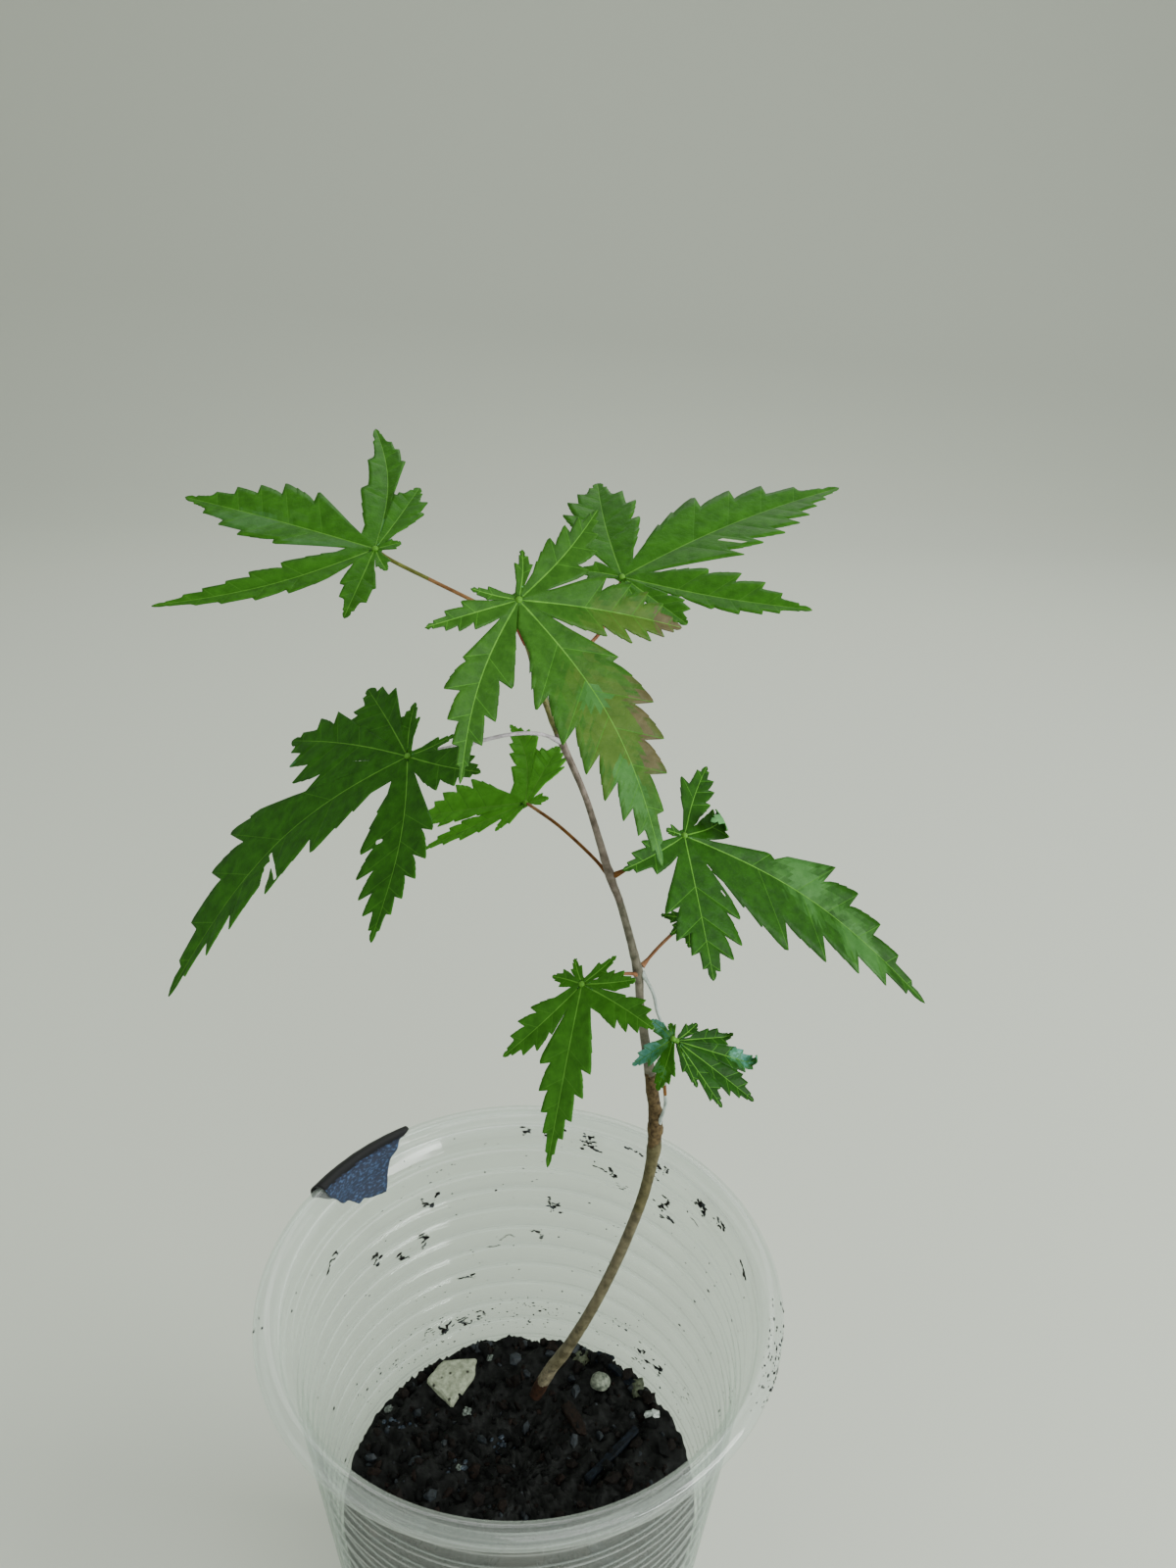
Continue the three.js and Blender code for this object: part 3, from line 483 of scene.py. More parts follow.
pebble_low, pebble_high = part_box("pebble")
pebble_middle = (pebble_low + pebble_high) / 2 / MM
pebble_half = (pebble_high - pebble_low) / 2 / MM
pebble = stone("pebble_grey", pebble_middle, pebble_half, (0, 0, 0), grey_stone, rough=0.1)
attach(pebble, "root")
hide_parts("pebble")
STONES = (
    ("quartz_right", (20.1, 11.6), (1.1, 0.8, 0.7), 0.6, quartz),
    ("olive_stone_back", (8.5, 22), (1.5, 1, 0.8), 0.3, olive_stone),
    ("perlite_chip_side", (-9, 10.8), (0.75, 0.6, 0.5), 0.2, perlite),
    ("perlite_left", (-21.7, 11.4), (0.6, 0.5, 0.45), 0.9, perlite),
    ("perlite_back", (-6.5, 21.2), (0.65, 0.5, 0.5), 1.7, perlite),
    ("olive_lump", (17.9, 16.4), (1.3, 1, 0.9), 1.1, olive_stone),
    ("pale_speck_left", (-9.4, 1.9), (0.4, 0.35, 0.3), 0.4, perlite),
)
for name, (x, y), half, turn, look in STONES:
    small = stone(name, (x, y, ground(x, y) + half[2] * 0.6), half, (0.2, 0.1, turn), look, rough=0.7)
    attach(small, "root")

# Stem: leans to the right from its flat cut at the ground, then back to the left, thinner past each pair of
# leaf stalks. The bark is rough and scarred where the oldest leaves stood, smooth and olive above.
STEM = (
    (1.4, 14.5, 52.1, 1),
    (3.7, 14.6, 57.9, 0.95),
    (6.9, 14.9, 64, 0.9),
    (10.9, 15.4, 73.6, 0.84),
    (14.5, 16.3, 84.1, 0.81),
    (17.3, 17.4, 94.8, 0.82),
    (18.1, 18.3, 104.8, 0.95),
    (17, 18.9, 113.2, 0.78),
    (15.1, 19.6, 124.5, 0.58),
    (14.4, 20, 130.7, 0.6),
    (11.8, 20.7, 140.3, 0.5),
    (10.1, 21, 144.9, 0.54),
    (6.7, 22, 155.5, 0.42),
    (3.1, 23, 163.6, 0.46),
    (0.5, 23.7, 170.1, 0.37),
    (-1.1, 24, 175.7, 0.36),
)
STEM_SIDES = 20
STEM_RINGS = 420
# Swollen joints and scars: height, extra radius as a share, and half length.
JOINTS = (
    (55, 0.08, 2.5), (61.5, 0.12, 1.3), (101, 0.16, 1.2), (104.6, 0.2, 1), (107.4, 0.16, 0.8),
    (111, 0.12, 0.9), (130.7, 0.2, 1), (133, 0.1, 0.6), (144.9, 0.22, 0.9), (147.2, 0.1, 0.6),
    (163.4, 0.25, 0.9), (165.6, 0.12, 0.6), (175.4, 0.3, 0.9),
)


def spline(points, count):
    """Points on a smooth curve through the given points, with their last value carried along."""
    ends = [points[0], *points, points[-1]]
    ends[0] = tuple(2 * a - b for a, b in zip(points[0], points[1]))
    ends[-1] = tuple(2 * a - b for a, b in zip(points[-1], points[-2]))
    result = []
    for k in range(count + 1):
        place = k / count * (len(points) - 1)
        i = min(int(place), len(points) - 2)
        t = place - i
        p0, p1, p2, p3 = ends[i:i + 4]
        result.append(tuple(0.5 * (2 * b + (c - a) * t + (2 * a - 5 * b + 4 * c - d) * t * t
                                   + (3 * b - a - 3 * c + d) * t ** 3) for a, b, c, d in zip(p0, p1, p2, p3)))
    return result


def tube(name, route, sides, swell=lambda point, turn: 1):
    """A round bar along (x, y, z, radius) points in mm, closed at both ends."""
    count = len(route) - 1
    piece = primitive(name, bpy.ops.mesh.primitive_grid_add, x_subdivisions=sides, y_subdivisions=count,
                      size=1)
    spots = [Vector(p[:3]) for p in route]
    across = Vector((1, 0, 0))
    frames = []
    for i, spot in enumerate(spots):
        along = (spots[min(i + 1, count)] - spots[max(i - 1, 0)]).normalized()
        across = (across - along * across.dot(along)).normalized()
        frames.append((spot, across.copy(), along.cross(across), route[i][3]))
    for vertex in piece.data.vertices:
        u, v = vertex.co.x + 0.5, vertex.co.y + 0.5
        spot, side, other, radius = frames[round(v * count)]
        turn = 2 * math.pi * u
        r = radius * swell(spot, turn)
        vertex.co = (spot + (side * math.cos(turn) + other * math.sin(turn)) * r) * MM
    bpy.ops.object.mode_set(mode="EDIT")
    bpy.ops.mesh.select_mode(type="VERT")
    bpy.ops.mesh.select_all(action="SELECT")
    bpy.ops.mesh.remove_doubles(threshold=0.001 * MM)
    bpy.ops.mesh.select_all(action="DESELECT")
    bpy.ops.mesh.select_non_manifold()
    bpy.ops.mesh.edge_face_add()
    bpy.ops.mesh.select_all(action="SELECT")
    bpy.ops.mesh.normals_make_consistent(inside=False)
    bpy.ops.object.mode_set(mode="OBJECT")
    bpy.ops.object.shade_smooth_by_angle(angle=math.radians(50))
    return piece


def bark_swell(point, turn):
    """How far the bark stands out at a place, as a share of the radius."""
    share = 1
    for height, extra, half in JOINTS:
        lean = 1 + 0.35 * math.cos(turn - height)
        share += extra * lean * math.exp(-((point.z - height) / half) ** 2)
    rough = 0.12 if 101 < point.z < 115 or point.z < 60 else 0.04
    around = Vector((math.cos(turn) * 1.6, math.sin(turn) * 1.6, point.z * 0.9))
    share += rough * noise.noise(around) + rough * 0.7 * noise.noise(around * 2.7)
    return share


stem = tube("maple_stem", spline(STEM, STEM_RINGS), STEM_SIDES, bark_swell)

# Bark by height, each drifting between two tones: orange brown at the ground, pale tan over it, grey green
# below the rough brown joint, grey brown with a mauve cast over that and olive brown at the top.
BARK = (
    (55.8, speckled("bark_orange_foot", "#1d110a", "#3a2315", 0.75, size=0.9, sheen=0.2)),
    (59.5, speckled("bark_pale_tan", "#4d4739", "#80775f", 0.75, size=0.8, sheen=0.2)),
    (90, speckled("bark_grey_green", "#413b29", "#6d664e", 0.6, size=1.2)),
    (102.5, speckled("bark_brown_green", "#393620", "#5d583c", 0.65, size=1, sheen=0.2)),
    (114, speckled("bark_rough_brown", "#2c2212", "#5f5034", 0.85, size=0.6, sheen=0.2)),
    (141, speckled("bark_grey_brown", "#454234", "#746f60", 0.6, size=1.1)),
    (164, speckled("bark_mauve_brown", "#4d4438", "#7a6f64", 0.55, size=1.2)),
    (200, speckled("bark_olive_top", "#4a4a22", "#6e6f3c", 0.55, size=1.1)),
)
for _, look in BARK:
    stem.data.materials.append(look)
for face in stem.data.polygons:
    z = face.center.z / MM + 1.2 * noise.noise(face.center / MM * 0.7)
    face.material_index = next(i for i, (top, _) in enumerate(BARK) if z < top)
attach(stem, "root")
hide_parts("stem")

# Leaves: each a thin folded blade cut into toothed lobes round the end of its stalk. A lobe is its angle in
# the leaf's plane, length, half width to the right and left, teeth on the right and left, sideways bow,
# a number that is lower the nearer to the leaf's centre it is widest, and where its first tooth stands.
# SINUS is how far from the hub two lobes part, and SINUS_SHARE its limit as a share of the shorter one.
# BASE_REACH and BASE_SPREAD shape the edge at the stalk. FILL is the share of its angle that a lobe may take,
# and a gap counts up to WIDE_GAP. TOOTH_FALL crowds the teeth toward the tip, FIRST_NOTCH makes the first
# notches shallower and SLANT leans the teeth forward. FOLD and QUILT raise the blade between its veins.
LEAF_THICKNESS = 0.16
SINUS = 3.4
SINUS_SHARE = 0.34
BASE_REACH = 0.9
BASE_SPREAD = 0.5
FILL = 0.96
WIDE_GAP = 1.6
TOOTH_FALL = 0.3
FIRST_NOTCH = 0.78
FOLD = 0.13
SLANT = 0.72
VEIN_HALF = 0.09
SIDE_VEIN_HALF = 0.05
QUILT = 0.1
TOOTH = (
    (0.12, 0.33), (0.32, 0.64), (0.36, 0.58), (0.56, 0.85), (0.6, 0.79), (0.8, 0.97), (0.92, 1.03), (1, 1),
)
COLUMNS = (0.16, 0.36, 0.58, 0.8, 1)
PALM_ROWS = 4
STALK_RADIUS = 0.24
HUB_RADIUS = 0.42
STALK_RINGS = 60
# A roll that starts beyond a lobe's tip, for lobes that stay flat.
NO_CURL = (9, 1)

# Most lobe sizes are the rounded result of a script that fitted the drawn outlines to the photograph, and
# the facings and droops started from another such script. Nine lobes, some teeth and all stalks were set
# one by one, the stalks as points read off the photograph.
# Of each leaf: at is where its lobes meet, facing the azimuth and elevation of its upper side in degrees,
# droop its fall in mm per mm squared, and green its colour. notch is the share of a lobe's width left
# between its teeth. joined names lobes grown together with the next one anticlockwise, and leans how much
# more than half of the gap clockwise of it a lobe takes. tints gives look, place (x, y) and half size in
# the leaf's plane. cuts are holes and slits, as two ends and a half width. curls gives a lobe, the share
# of its length from which its tip rolls up, and the roll's radius. stalk is its route from the blade to
# the stem, and stalk_looks its looks up to a share of it. A leaf leaves out what it has none of.
LEAVES = {
    "leaf_a": dict(
        at=(-19.9, 28, 185.6), facing=(268, 66), droop=0.0012, green="green", notch=0.72, joined=(75, -97),
        stalk=(
            (-17.8, 27.6, 184.3), (-12.9, 26.8, 182.2), (-7.6, 25.8, 180), (-3.3, 25, 178),
            (-1.1, 24, 175.4)),
        stalk_looks=((0.4, "stalk_olive"), (0.7, "stalk_tan"), (1, "stalk_brick")),
        tints=(("sheen", (-16.6, 4.8), (4.5, 2)), ("sheen", (-7, 0), (3.5, 1.6))),
        lobes=(
            (-156, 27, 2.9, 2.6, 6, 5, 0.07, 0.65, 0.2), (-97, 12.5, 2.1, 2.7, 3, 3, 0, 0.7, 0.12),
            (-62, 4.3, 1.3, 1.1, 2, 2, -0.03, 0.7, 0.16), (27, 3.3, 1.1, 1.1, 2, 2, 0, 0.7, 0.16),
            (75, 13.5, 3, 3.4, 3, 4, -0.01, 0.7, 0.14), (100, 27.5, 3.7, 3.4, 6, 3, -0.06, 0.65, 0.14),
            (159, 28.5, 6.3, 5.5, 6, 5, 0, 0.6, 0.12))),
    "leaf_b": dict(
        at=(10.4, 31, 182.2), facing=(252, 64), droop=0.0022, green="green", notch=0.68, joined=(-53,),
        stalk=(
            (9.4, 30, 179.1), (7.8, 28.5, 175.6), (4.7, 26.5, 173.3), (1.6, 25, 173.2), (-0.9, 24, 174.8)),
        stalk_looks=((0.5, "stalk_pink"), (1, "stalk_tan")),
        tints=(("scratch", (12, 9.1), (1, 0.25)),),
        lobes=(
            (-53, 6, 1.5, 1.5, 2, 2, 0, 0.7, 0.16), (-33, 12, 2.8, 3.2, 3, 4, 0, 0.7, 0.16),
            (-1, 24, 3.2, 4.5, 6, 5, -0.04, 0.65, 0.12), (48, 34, 6.7, 6.7, 8, 5, 0.02, 0.55, 0.16),
            (116, 21.5, 5, 5.3, 4, 5, 0.02, 0.85, 0.14), (177, 6.1, 1.9, 1.6, 2, 2, -0.03, 0.7, 0.16))),
    "leaf_c": dict(
        at=(-1, 7, 186.1), facing=(305, 40), droop=0.0012, green="dull_green", notch=0.5, joined=(33,),
        leans=((-79, 0.24), (-18, -0.12)),
        stalk=((-0.3, 10.5, 182), (0.6, 15.5, 176.2), (1.9, 19.8, 170), (3, 22, 165.8), (3.5, 23, 163.6)),
        stalk_looks=((1, "stalk_bluish_highlight"),),
        tints=(
            ("bronze", (18, -5.6), (3.4, 2.4)), ("olive", (12.5, -5), (5, 3)),
            ("bronze", (9.7, -14.5), (2, 2.6)), ("bronze", (9.2, -19.5), (1.7, 2.6)),
            ("olive", (5.6, -16.5), (3.6, 7)), ("sheen", (5.2, -21), (2, 5)),
            ("sheen", (5, -12.6), (2.4, 2.4)), ("sheen", (6.2, -29.5), (1.2, 2.2))),
        lobes=(
            (-174, 11.5, 1.5, 1.7, 3, 4, 0, 0.7, 0.16), (-127, 22, 3.8, 3.3, 5, 4, -0.06, 0.55, 0.16),
            (-79, 32, 8, 6.4, 7, 6, 0.09, 0.46, 0.04), (-18, 20.5, 3.4, 4.1, 5, 5, 0.02, 0.9, 0.2),
            (33, 17, 3, 2.4, 4, 4, -0.03, 0.7, 0.2), (65, 6.2, 1.6, 1.1, 2, 2, -0.04, 0.65, 0.22),
            (157, 5.4, 0.9, 1.2, 2, 2, 0.03, 0.7, 0.2))),
    "leaf_d": dict(
        at=(-14.5, 13, 164.8), facing=(215, 47), droop=0.0012, green="deep_green", notch=0.52,
        joined=(-162, 16, 137, 168), leans=((-104, 0.08),),
        stalk=(
            (-10.7, 14.2, 165.3), (-7, 15.5, 165.7), (-2.8, 17.6, 166), (0.7, 20.2, 165.1),
            (3.5, 23, 162.8)),
        stalk_looks=((1, "stalk_mauve_highlight"),),
        tints=(("bluish", (-21.2, -11.2), (2, 1.5)),),
        cuts=(
            (-8.4, -4.6, -5.4, -3.2, 0.07), (6.5, -9.7, 6.7, -9.4, 0.35), (-10.2, -19.9, -5, -21.2, 0.35),
            (-8.6, -21.2, -5, -24, 0.85)),
        lobes=(
            (-162, 25.5, 5.6, 7.6, 4, 4, -0.02, 0.75, 0.2), (-104, 42.5, 10, 7.4, 5, 5, -0.14, 0.66, 0.12),
            (-49, 24, 5.6, 5.2, 5, 6, 0.07, 0.6, 0.2), (16, 13, 3.2, 3.4, 3, 4, -0.02, 0.65, 0.16),
            (50, 7.1, 1.3, 1, 2, 2, -0.04, 0.7, 0.2), (137, 8.5, 1.6, 2, 2, 2, 0.04, 0.75, 0.16),
            (168, 17.5, 4.2, 5.2, 2, 4, -0.01, 0.75, 0.2))),
    "leaf_e": dict(
        at=(-1.7, 33, 149.1), facing=(222, 58), droop=0.0014, green="fresh_green", notch=0.64,
        joined=(108, -124),
        stalk=((-0.4, 31.6, 149), (3.1, 28, 148.3), (7.2, 23.8, 146.6), (10.1, 21, 144.8)),
        stalk_looks=((0.35, "stalk_tan"), (1, "stalk_brown")),
        lobes=(
            (-146, 17.5, 5, 4.3, 5, 5, -0.01, 0.65, 0.16), (-124, 16.5, 2, 2, 5, 4, 0, 0.7, 0.12),
            (-97, 5.8, 1.2, 1, 2, 2, -0.01, 0.7, 0.16), (41, 3.5, 1, 1.1, 2, 2, 0, 0.7, 0.16),
            (108, 10.5, 3.4, 4.3, 4, 4, 0, 0.7, 0.16), (146, 17.5, 3.4, 2.3, 6, 5, -0.08, 0.65, 0.16))),
    "leaf_f": dict(
        at=(18.9, 14, 154.8), facing=(318, 48), droop=0.0012, green="dark_green", notch=0.5,
        joined=(-7, -117),
        stalk=((18.1, 16, 152.4), (16.2, 18.2, 149.7), (13.6, 20, 147.2), (10.8, 21, 144.9)),
        stalk_looks=((0.5, "stalk_olive"), (1, "stalk_brown")),
        tints=(
            ("bluish", (9, -0.4), (1.6, 1.2)), ("sheen", (14.5, -12), (3, 5)),
            ("sheen", (17, -24), (2.4, 5))),
        cuts=((0.4, -4.5, 0.5, -5.3, 0.15), (0, -8.1, 0.1, -8.8, 0.15)), curls=((-7, 0.35, 1.6),),
        lobes=(
            (-179, 11.5, 2, 2.5, 3, 2, 0.02, 0.65, 0.16), (-117, 18.5, 5.6, 6, 4, 4, 0, 0.6, 0.16),
            (-56, 41.5, 9, 7.8, 5, 6, 0.07, 0.5, 0.12), (-7, 9.5, 2.2, 1.8, 3, 3, -0.02, 0.75, 0.2),
            (32, 12.5, 2.5, 2.6, 4, 2, 0.03, 0.75, 0.12), (141, 2.6, 1, 1, 2, 2, 0, 0.7, 0.16))),
    "leaf_g": dict(
        at=(21.4, 25, 136.2), facing=(285, 50), droop=0.002, green="dark_green", notch=0.62,
        stalk=((20.1, 24.4, 135), (17.4, 22.6, 133), (15, 20.3, 131.2)),
        stalk_looks=((1, "stalk_pink"),),
        lobes=(
            (-146, 3.8, 0.9, 0.9, 2, 2, 0, 0.7, 0.16), (-102, 4.3, 1.1, 1.1, 2, 3, 0, 0.7, 0.16),
            (-45, 3.6, 1.1, 1.1, 2, 2, 0, 0.7, 0.16), (18, 3, 1, 1, 2, 2, 0, 0.7, 0.16),
            (167, 4, 0.8, 1, 2, 2, 0.02, 0.7, 0.16))),
    "leaf_h": dict(
        at=(6.9, 10, 135.2), facing=(235, 42), droop=0.0016, green="green", notch=0.58, joined=(26,),
        stalk=((9.2, 11.5, 134.9), (10.8, 14, 133.9), (12.9, 17.4, 131.9), (14.5, 20, 130)),
        stalk_looks=((0.4, "stalk_olive"), (1, "stalk_pink")),
        lobes=(
            (-172, 4.5, 1.2, 1.2, 2, 2, -0.02, 0.7, 0.16), (-117, 14, 2.5, 2.8, 4, 4, 0.02, 0.7, 0.12),
            (-76, 22.5, 3.3, 3.7, 5, 5, 0, 0.6, 0.18), (-7, 11.5, 2.6, 3, 4, 4, 0.02, 0.7, 0.16),
            (26, 7.3, 2.2, 1.6, 2, 3, -0.02, 0.75, 0.16), (61, 5.7, 1.1, 0.9, 2, 2, -0.02, 0.65, 0.16),
            (134, 3.6, 0.8, 0.9, 2, 2, 0.02, 0.7, 0.16))),
    "leaf_i": dict(
        at=(19.9, 15, 122.9), facing=(315, 55), droop=0.004, green="shaded_green", notch=0.62,
        joined=(-102, -88, -65, -41, -22),
        stalk=((18.3, 16.4, 123.9), (17.3, 17.6, 125.6), (16.6, 18.8, 127.9), (15, 20, 130.4)),
        stalk_looks=((0.2, "stalk_brown"), (1, "stalk_silver_highlight")),
        tints=(("bluish", (9.5, -6), (2.2, 2)),), curls=((-41, 0.78, 1.1), (-22, 0.8, 1.1)),
        lobes=(
            (-102, 6.7, 1.3, 1.5, 2, 2, 0, 0.7, 0.16), (-88, 10.5, 1.9, 2.1, 4, 3, 0, 0.7, 0.16),
            (-65, 13.5, 2.4, 2.9, 4, 4, 0, 0.7, 0.2), (-41, 14, 2.4, 2.1, 5, 5, -0.01, 0.65, 0.16),
            (-22, 9.5, 2, 1.6, 4, 3, 0, 0.7, 0.16), (6, 4.8, 1.3, 1.1, 2, 2, -0.02, 0.7, 0.16))),
    "leaf_j": dict(
        at=(19.2, 12.4, 125.2), facing=(215, 45), droop=0.004, green="green", notch=0.62,
        stalk=((19, 14, 120.4), (18.7, 15.1, 115.6), (19.1, 16.2, 110.8), (18.5, 18.3, 105.2)),
        stalk_looks=(
            (0.2, "stalk_brown"), (0.5, "stalk_silver_highlight"), (0.62, "stalk_brown"), (1, "stalk_silver_highlight")),
        tints=(("bluish", (-3.2, -4.2), (3, 3)), ("bluish", (-4, 0.2), (2.4, 1.6))),
        lobes=(
            (-116, 7, 1.5, 1.6, 3, 2, 0, 0.65, 0.16), (-67, 7, 1.9, 2.1, 2, 3, 0.02, 0.7, 0.16),
            (149, 2.4, 0.9, 0.9, 2, 2, 0, 0.7, 0.16), (180, 5, 1.2, 1.2, 2, 2, -0.02, 0.7, 0.16))),
}


def edge_line(lobe, side, seed):
    """One edge of a lobe as (distance, reach) points from sinus to tip, and where its teeth point."""
    tooth_rng = random.Random(seed)
    start, length, first = lobe["start"], lobe["length"], lobe["first"]
    half, teeth, joined = lobe["half"][side], lobe["teeth"][side], lobe["joined"][side]
    notch = lobe["notch"]
    run = length - start
    slope = math.tan(lobe["shares"][side] * (1 if joined else FILL) * min(lobe["gaps"][side], WIDE_GAP))
    slack = 1 - SLANT * slope
    toward = 1 if side else -1

    def envelope(t):
        return half * math.sin(math.pi * min(max(t, 0), 1) ** lobe["shape"]) ** 0.9

    def limit(s):
        if slack < 0.12:
            return half * 9
        r = 0
        for _ in range(12):
            far = s + SLANT * r
            sway = toward * lobe["bow"] * length * math.sin(math.pi * min(far / length, 1))
            r = min(half * 9, max(0.25, far * slope - sway))
        return r

    def place(x):
        return first + (1 - first) * x * (1 + TOOTH_FALL - TOOTH_FALL * x)

    def point(t, reach):
        s = start + t * run
        if joined and limit(s) < 0.9 * envelope(t):
            return s, limit(s)
        return s, min(reach, limit(s))

    at, reach = 0.0, lobe["sinus"][side]
    line, tips = [(start, reach)], []
    for k in range(teeth):
        pitch = place((k + 1) / (teeth + 0.4)) - place(k / (teeth + 0.4))
        tip = place((k + 0.5 + tooth_rng.uniform(-0.08, 0.08)) / (teeth + 0.4))
        tip_reach = min(envelope(tip + 0.25 * pitch), limit(start + tip * run))
        tip_reach *= tooth_rng.uniform(0.93, 1.05)
        line += [point(at + (tip - at) * x, reach + (tip_reach - reach) * y) for x, y in TOOTH]
        tips.append(start + tip * run)
        at = tip + 0.16 * pitch
        depth = notch + (FIRST_NOTCH - notch) * (1 - at) ** 3
        reach = min(depth * envelope(at + 0.2 * pitch), tip_reach * 0.86) * tooth_rng.uniform(0.92, 1.06)
        line.append(point(at, reach))
    line.append((start + (at + (1 - at) * 0.35) * run, max(1.1 * reach, 0.3)))
    line.append((start + (at + (1 - at) * 0.72) * run, 0.62 * reach))
    line.append((length, 0.0))
    return line, tips


def value_at(line, s):
    """Reach of an edge at a distance."""
    if s <= line[0][0]:
        return line[0][1]
    for (s0, r0), (s1, r1) in zip(line, line[1:]):
        if s <= s1:
            return r0 + (r1 - r0) * (s - s0) / max(s1 - s0, 1e-9)
    return 0.0


def lobe_sheet(lobe, droop, rays, seed, points, faces, veins):
    """Adds one lobe: rows of points across it from the hub to the tip, with its middle and side veins."""
    a, length, start = lobe["angle"], lobe["length"], lobe["start"]
    lobe["sinus"] = [rho * math.sin(turn) for turn, rho in rays]
    lines, tips = zip(*[edge_line(lobe, side, seed + side) for side in (0, 1)])
    keys = {round(s, 3) for line in lines for s, _ in line}
    keys |= {round(tip + way * SIDE_VEIN_HALF, 3) for row in tips for tip in row for way in (-1, 1)}
    keys = sorted(keys)
    rows = [start * j / PALM_ROWS for j in range(PALM_ROWS)]
    rows += [k for j, k in enumerate(keys) if j == 0 or k - keys[j - 1] > 0.02]

    def axis(s):
        sway = lobe["bow"] * length * math.sin(math.pi * min(s / length, 1))
        return s * math.cos(a) - sway * math.sin(a), s * math.sin(a) + sway * math.cos(a)

    def put(x, y, rise):
        along = x * math.cos(a) + y * math.sin(a)
        beyond = along - lobe["curl"][0] * length
        if beyond > 0:
            turn = beyond / lobe["curl"][1]
            back = lobe["curl"][1] * math.sin(turn) - beyond
            rise += lobe["curl"][1] * (1 - math.cos(turn)) - 2 * rise * math.sin(turn / 2) ** 2
            x, y = x + back * math.cos(a), y + back * math.sin(a)
        points.append((x, y, rise - droop * (x * x + y * y)))
        return len(points) - 1

    def half_row(s, side):
        turn, rho = rays[side]
        sign = 1 if side else -1
        mx, my = axis(s)
        share = min(s / start, 1)
        ex = rho * share * math.cos(a + sign * turn)
        ey = rho * share * math.sin(a + sign * turn)
        reach = rho * share * math.sin(turn)
        if s > start + 1e-6:
            reach = value_at(lines[side], s)
            ax, ay = axis(min(s + SLANT * reach, length + 0.25 * reach))
            ex, ey = ax - sign * reach * math.sin(a), ay + sign * reach * math.cos(a)
        spread = math.hypot(ex - mx, ey - my)
        vein = min(VEIN_HALF * (1.25 - 0.9 * s / length), 0.3 * spread)
        row = []
        for f in (vein / spread if spread > 1e-6 else 0, *COLUMNS):
            w = reach * f
            nearest = min((abs(s - tip) for tip in tips[side]), default=9)
            quilt = QUILT * min(1, nearest / 0.8) * min(1, w / 1.2) * (1 - f * 0.5)
            quilt *= min(1, max(0, s - start) / 2)
            rise = FOLD * w
            if lobe["joined"][side]:
                rise = FOLD * f * min(math.hypot(ex, ey) * math.sin(turn), 3) * min(1, 3 - 3 * s / length)
            row.append(put(mx + (ex - mx) * f, my + (ey - my) * f, rise + quilt))
        return row

    previous, last = None, 0
    for s in rows:
        middle = put(*axis(s), 0)
        right, left = half_row(s, 0), half_row(s, 1)
        fresh = [*right[::-1], middle, *left]
        if previous:
            for k in range(len(fresh) - 1):
                on_left = k >= len(right)
                in_side_vein = any(abs((s + last) / 2 - tip) < SIDE_VEIN_HALF for tip in tips[on_left])
                faces.append((previous[k], fresh[k], fresh[k + 1], previous[k + 1]))
                veins.append(2 if k in (len(right) - 1, len(right)) else int(in_side_vein))
        previous, last = fresh, s


def blade(leaf, seed):
    """Sheet of one leaf: (x, y, lift) points in mm in its plane, faces, 1 or 2 for side and mid veins."""
    lobes = []
    curls = {angle: (share, radius) for angle, share, radius in leaf.get("curls", ())}
    leans = dict(leaf.get("leans", ()))
    joined = leaf.get("joined", ())
    for angle, length, right, left, teeth_right, teeth_left, bow, shape, first in leaf["lobes"]:
        lobes.append(dict(
            angle=math.radians(angle), length=length, half=(right, left), teeth=(teeth_right, teeth_left),
            bow=bow, shape=shape, first=first, start=min(SINUS, 0.3 * length) * 0.75, notch=leaf["notch"],
            with_next=angle in joined, curl=curls.get(angle, NO_CURL), lean=leans.get(angle, 0)))
    lobes.sort(key=lambda lobe: lobe["angle"])
    count = len(lobes)
    gaps = [(lobes[(i + 1) % count]["angle"] - lobes[i]["angle"]) % (2 * math.pi) for i in range(count)]
    widest = gaps.index(max(gaps))
    points, faces, veins = [], [], []
    for step in range(count):
        i = (widest + 1 + step) % count
        lobe = lobes[i]
        lobe["joined"] = (lobes[i - 1]["with_next"], lobe["with_next"])
        after = lobes[(i + 1) % count]
        lobe["gaps"] = (1.0 if step == 0 else gaps[i - 1], 1.0 if step == count - 1 else gaps[i])
        lobe["shares"] = (0.5 + lobe["lean"], 0.5 - after["lean"])
        rays = []
        for gap, share, pair, is_open, grown in (
            (gaps[i - 1], lobe["shares"][0], (lobes[i - 1], lobe), step == 0, lobe["joined"][0]),
            (gaps[i], lobe["shares"][1], (lobe, after), step == count - 1, lobe["joined"][1]),
        ):
            reach = min(SINUS, SINUS_SHARE * min(one["length"] for one in pair))
            if grown:
                turn = gap / 2
                reach = min(one["start"] for one in pair) / max(0.3, math.cos(turn) - SLANT * math.sin(turn))
            rays.append((BASE_SPREAD, BASE_REACH) if is_open else (gap * share, reach))
        lobe_sheet(lobe, leaf["droop"], rays, seed * 97 + i * 7, points, faces, veins)
    back = []
    for angle in (lobes[(widest + 1) % count]["angle"] - BASE_SPREAD, lobes[widest]["angle"] + BASE_SPREAD):
        points.append((BASE_REACH * math.cos(angle), BASE_REACH * math.sin(angle), 0))
        back.append(len(points) - 1)
    points.append((0, 0, 0))
    faces.append((len(points) - 1, back[1], back[0]))
    veins.append(0)
    return points, faces, veins


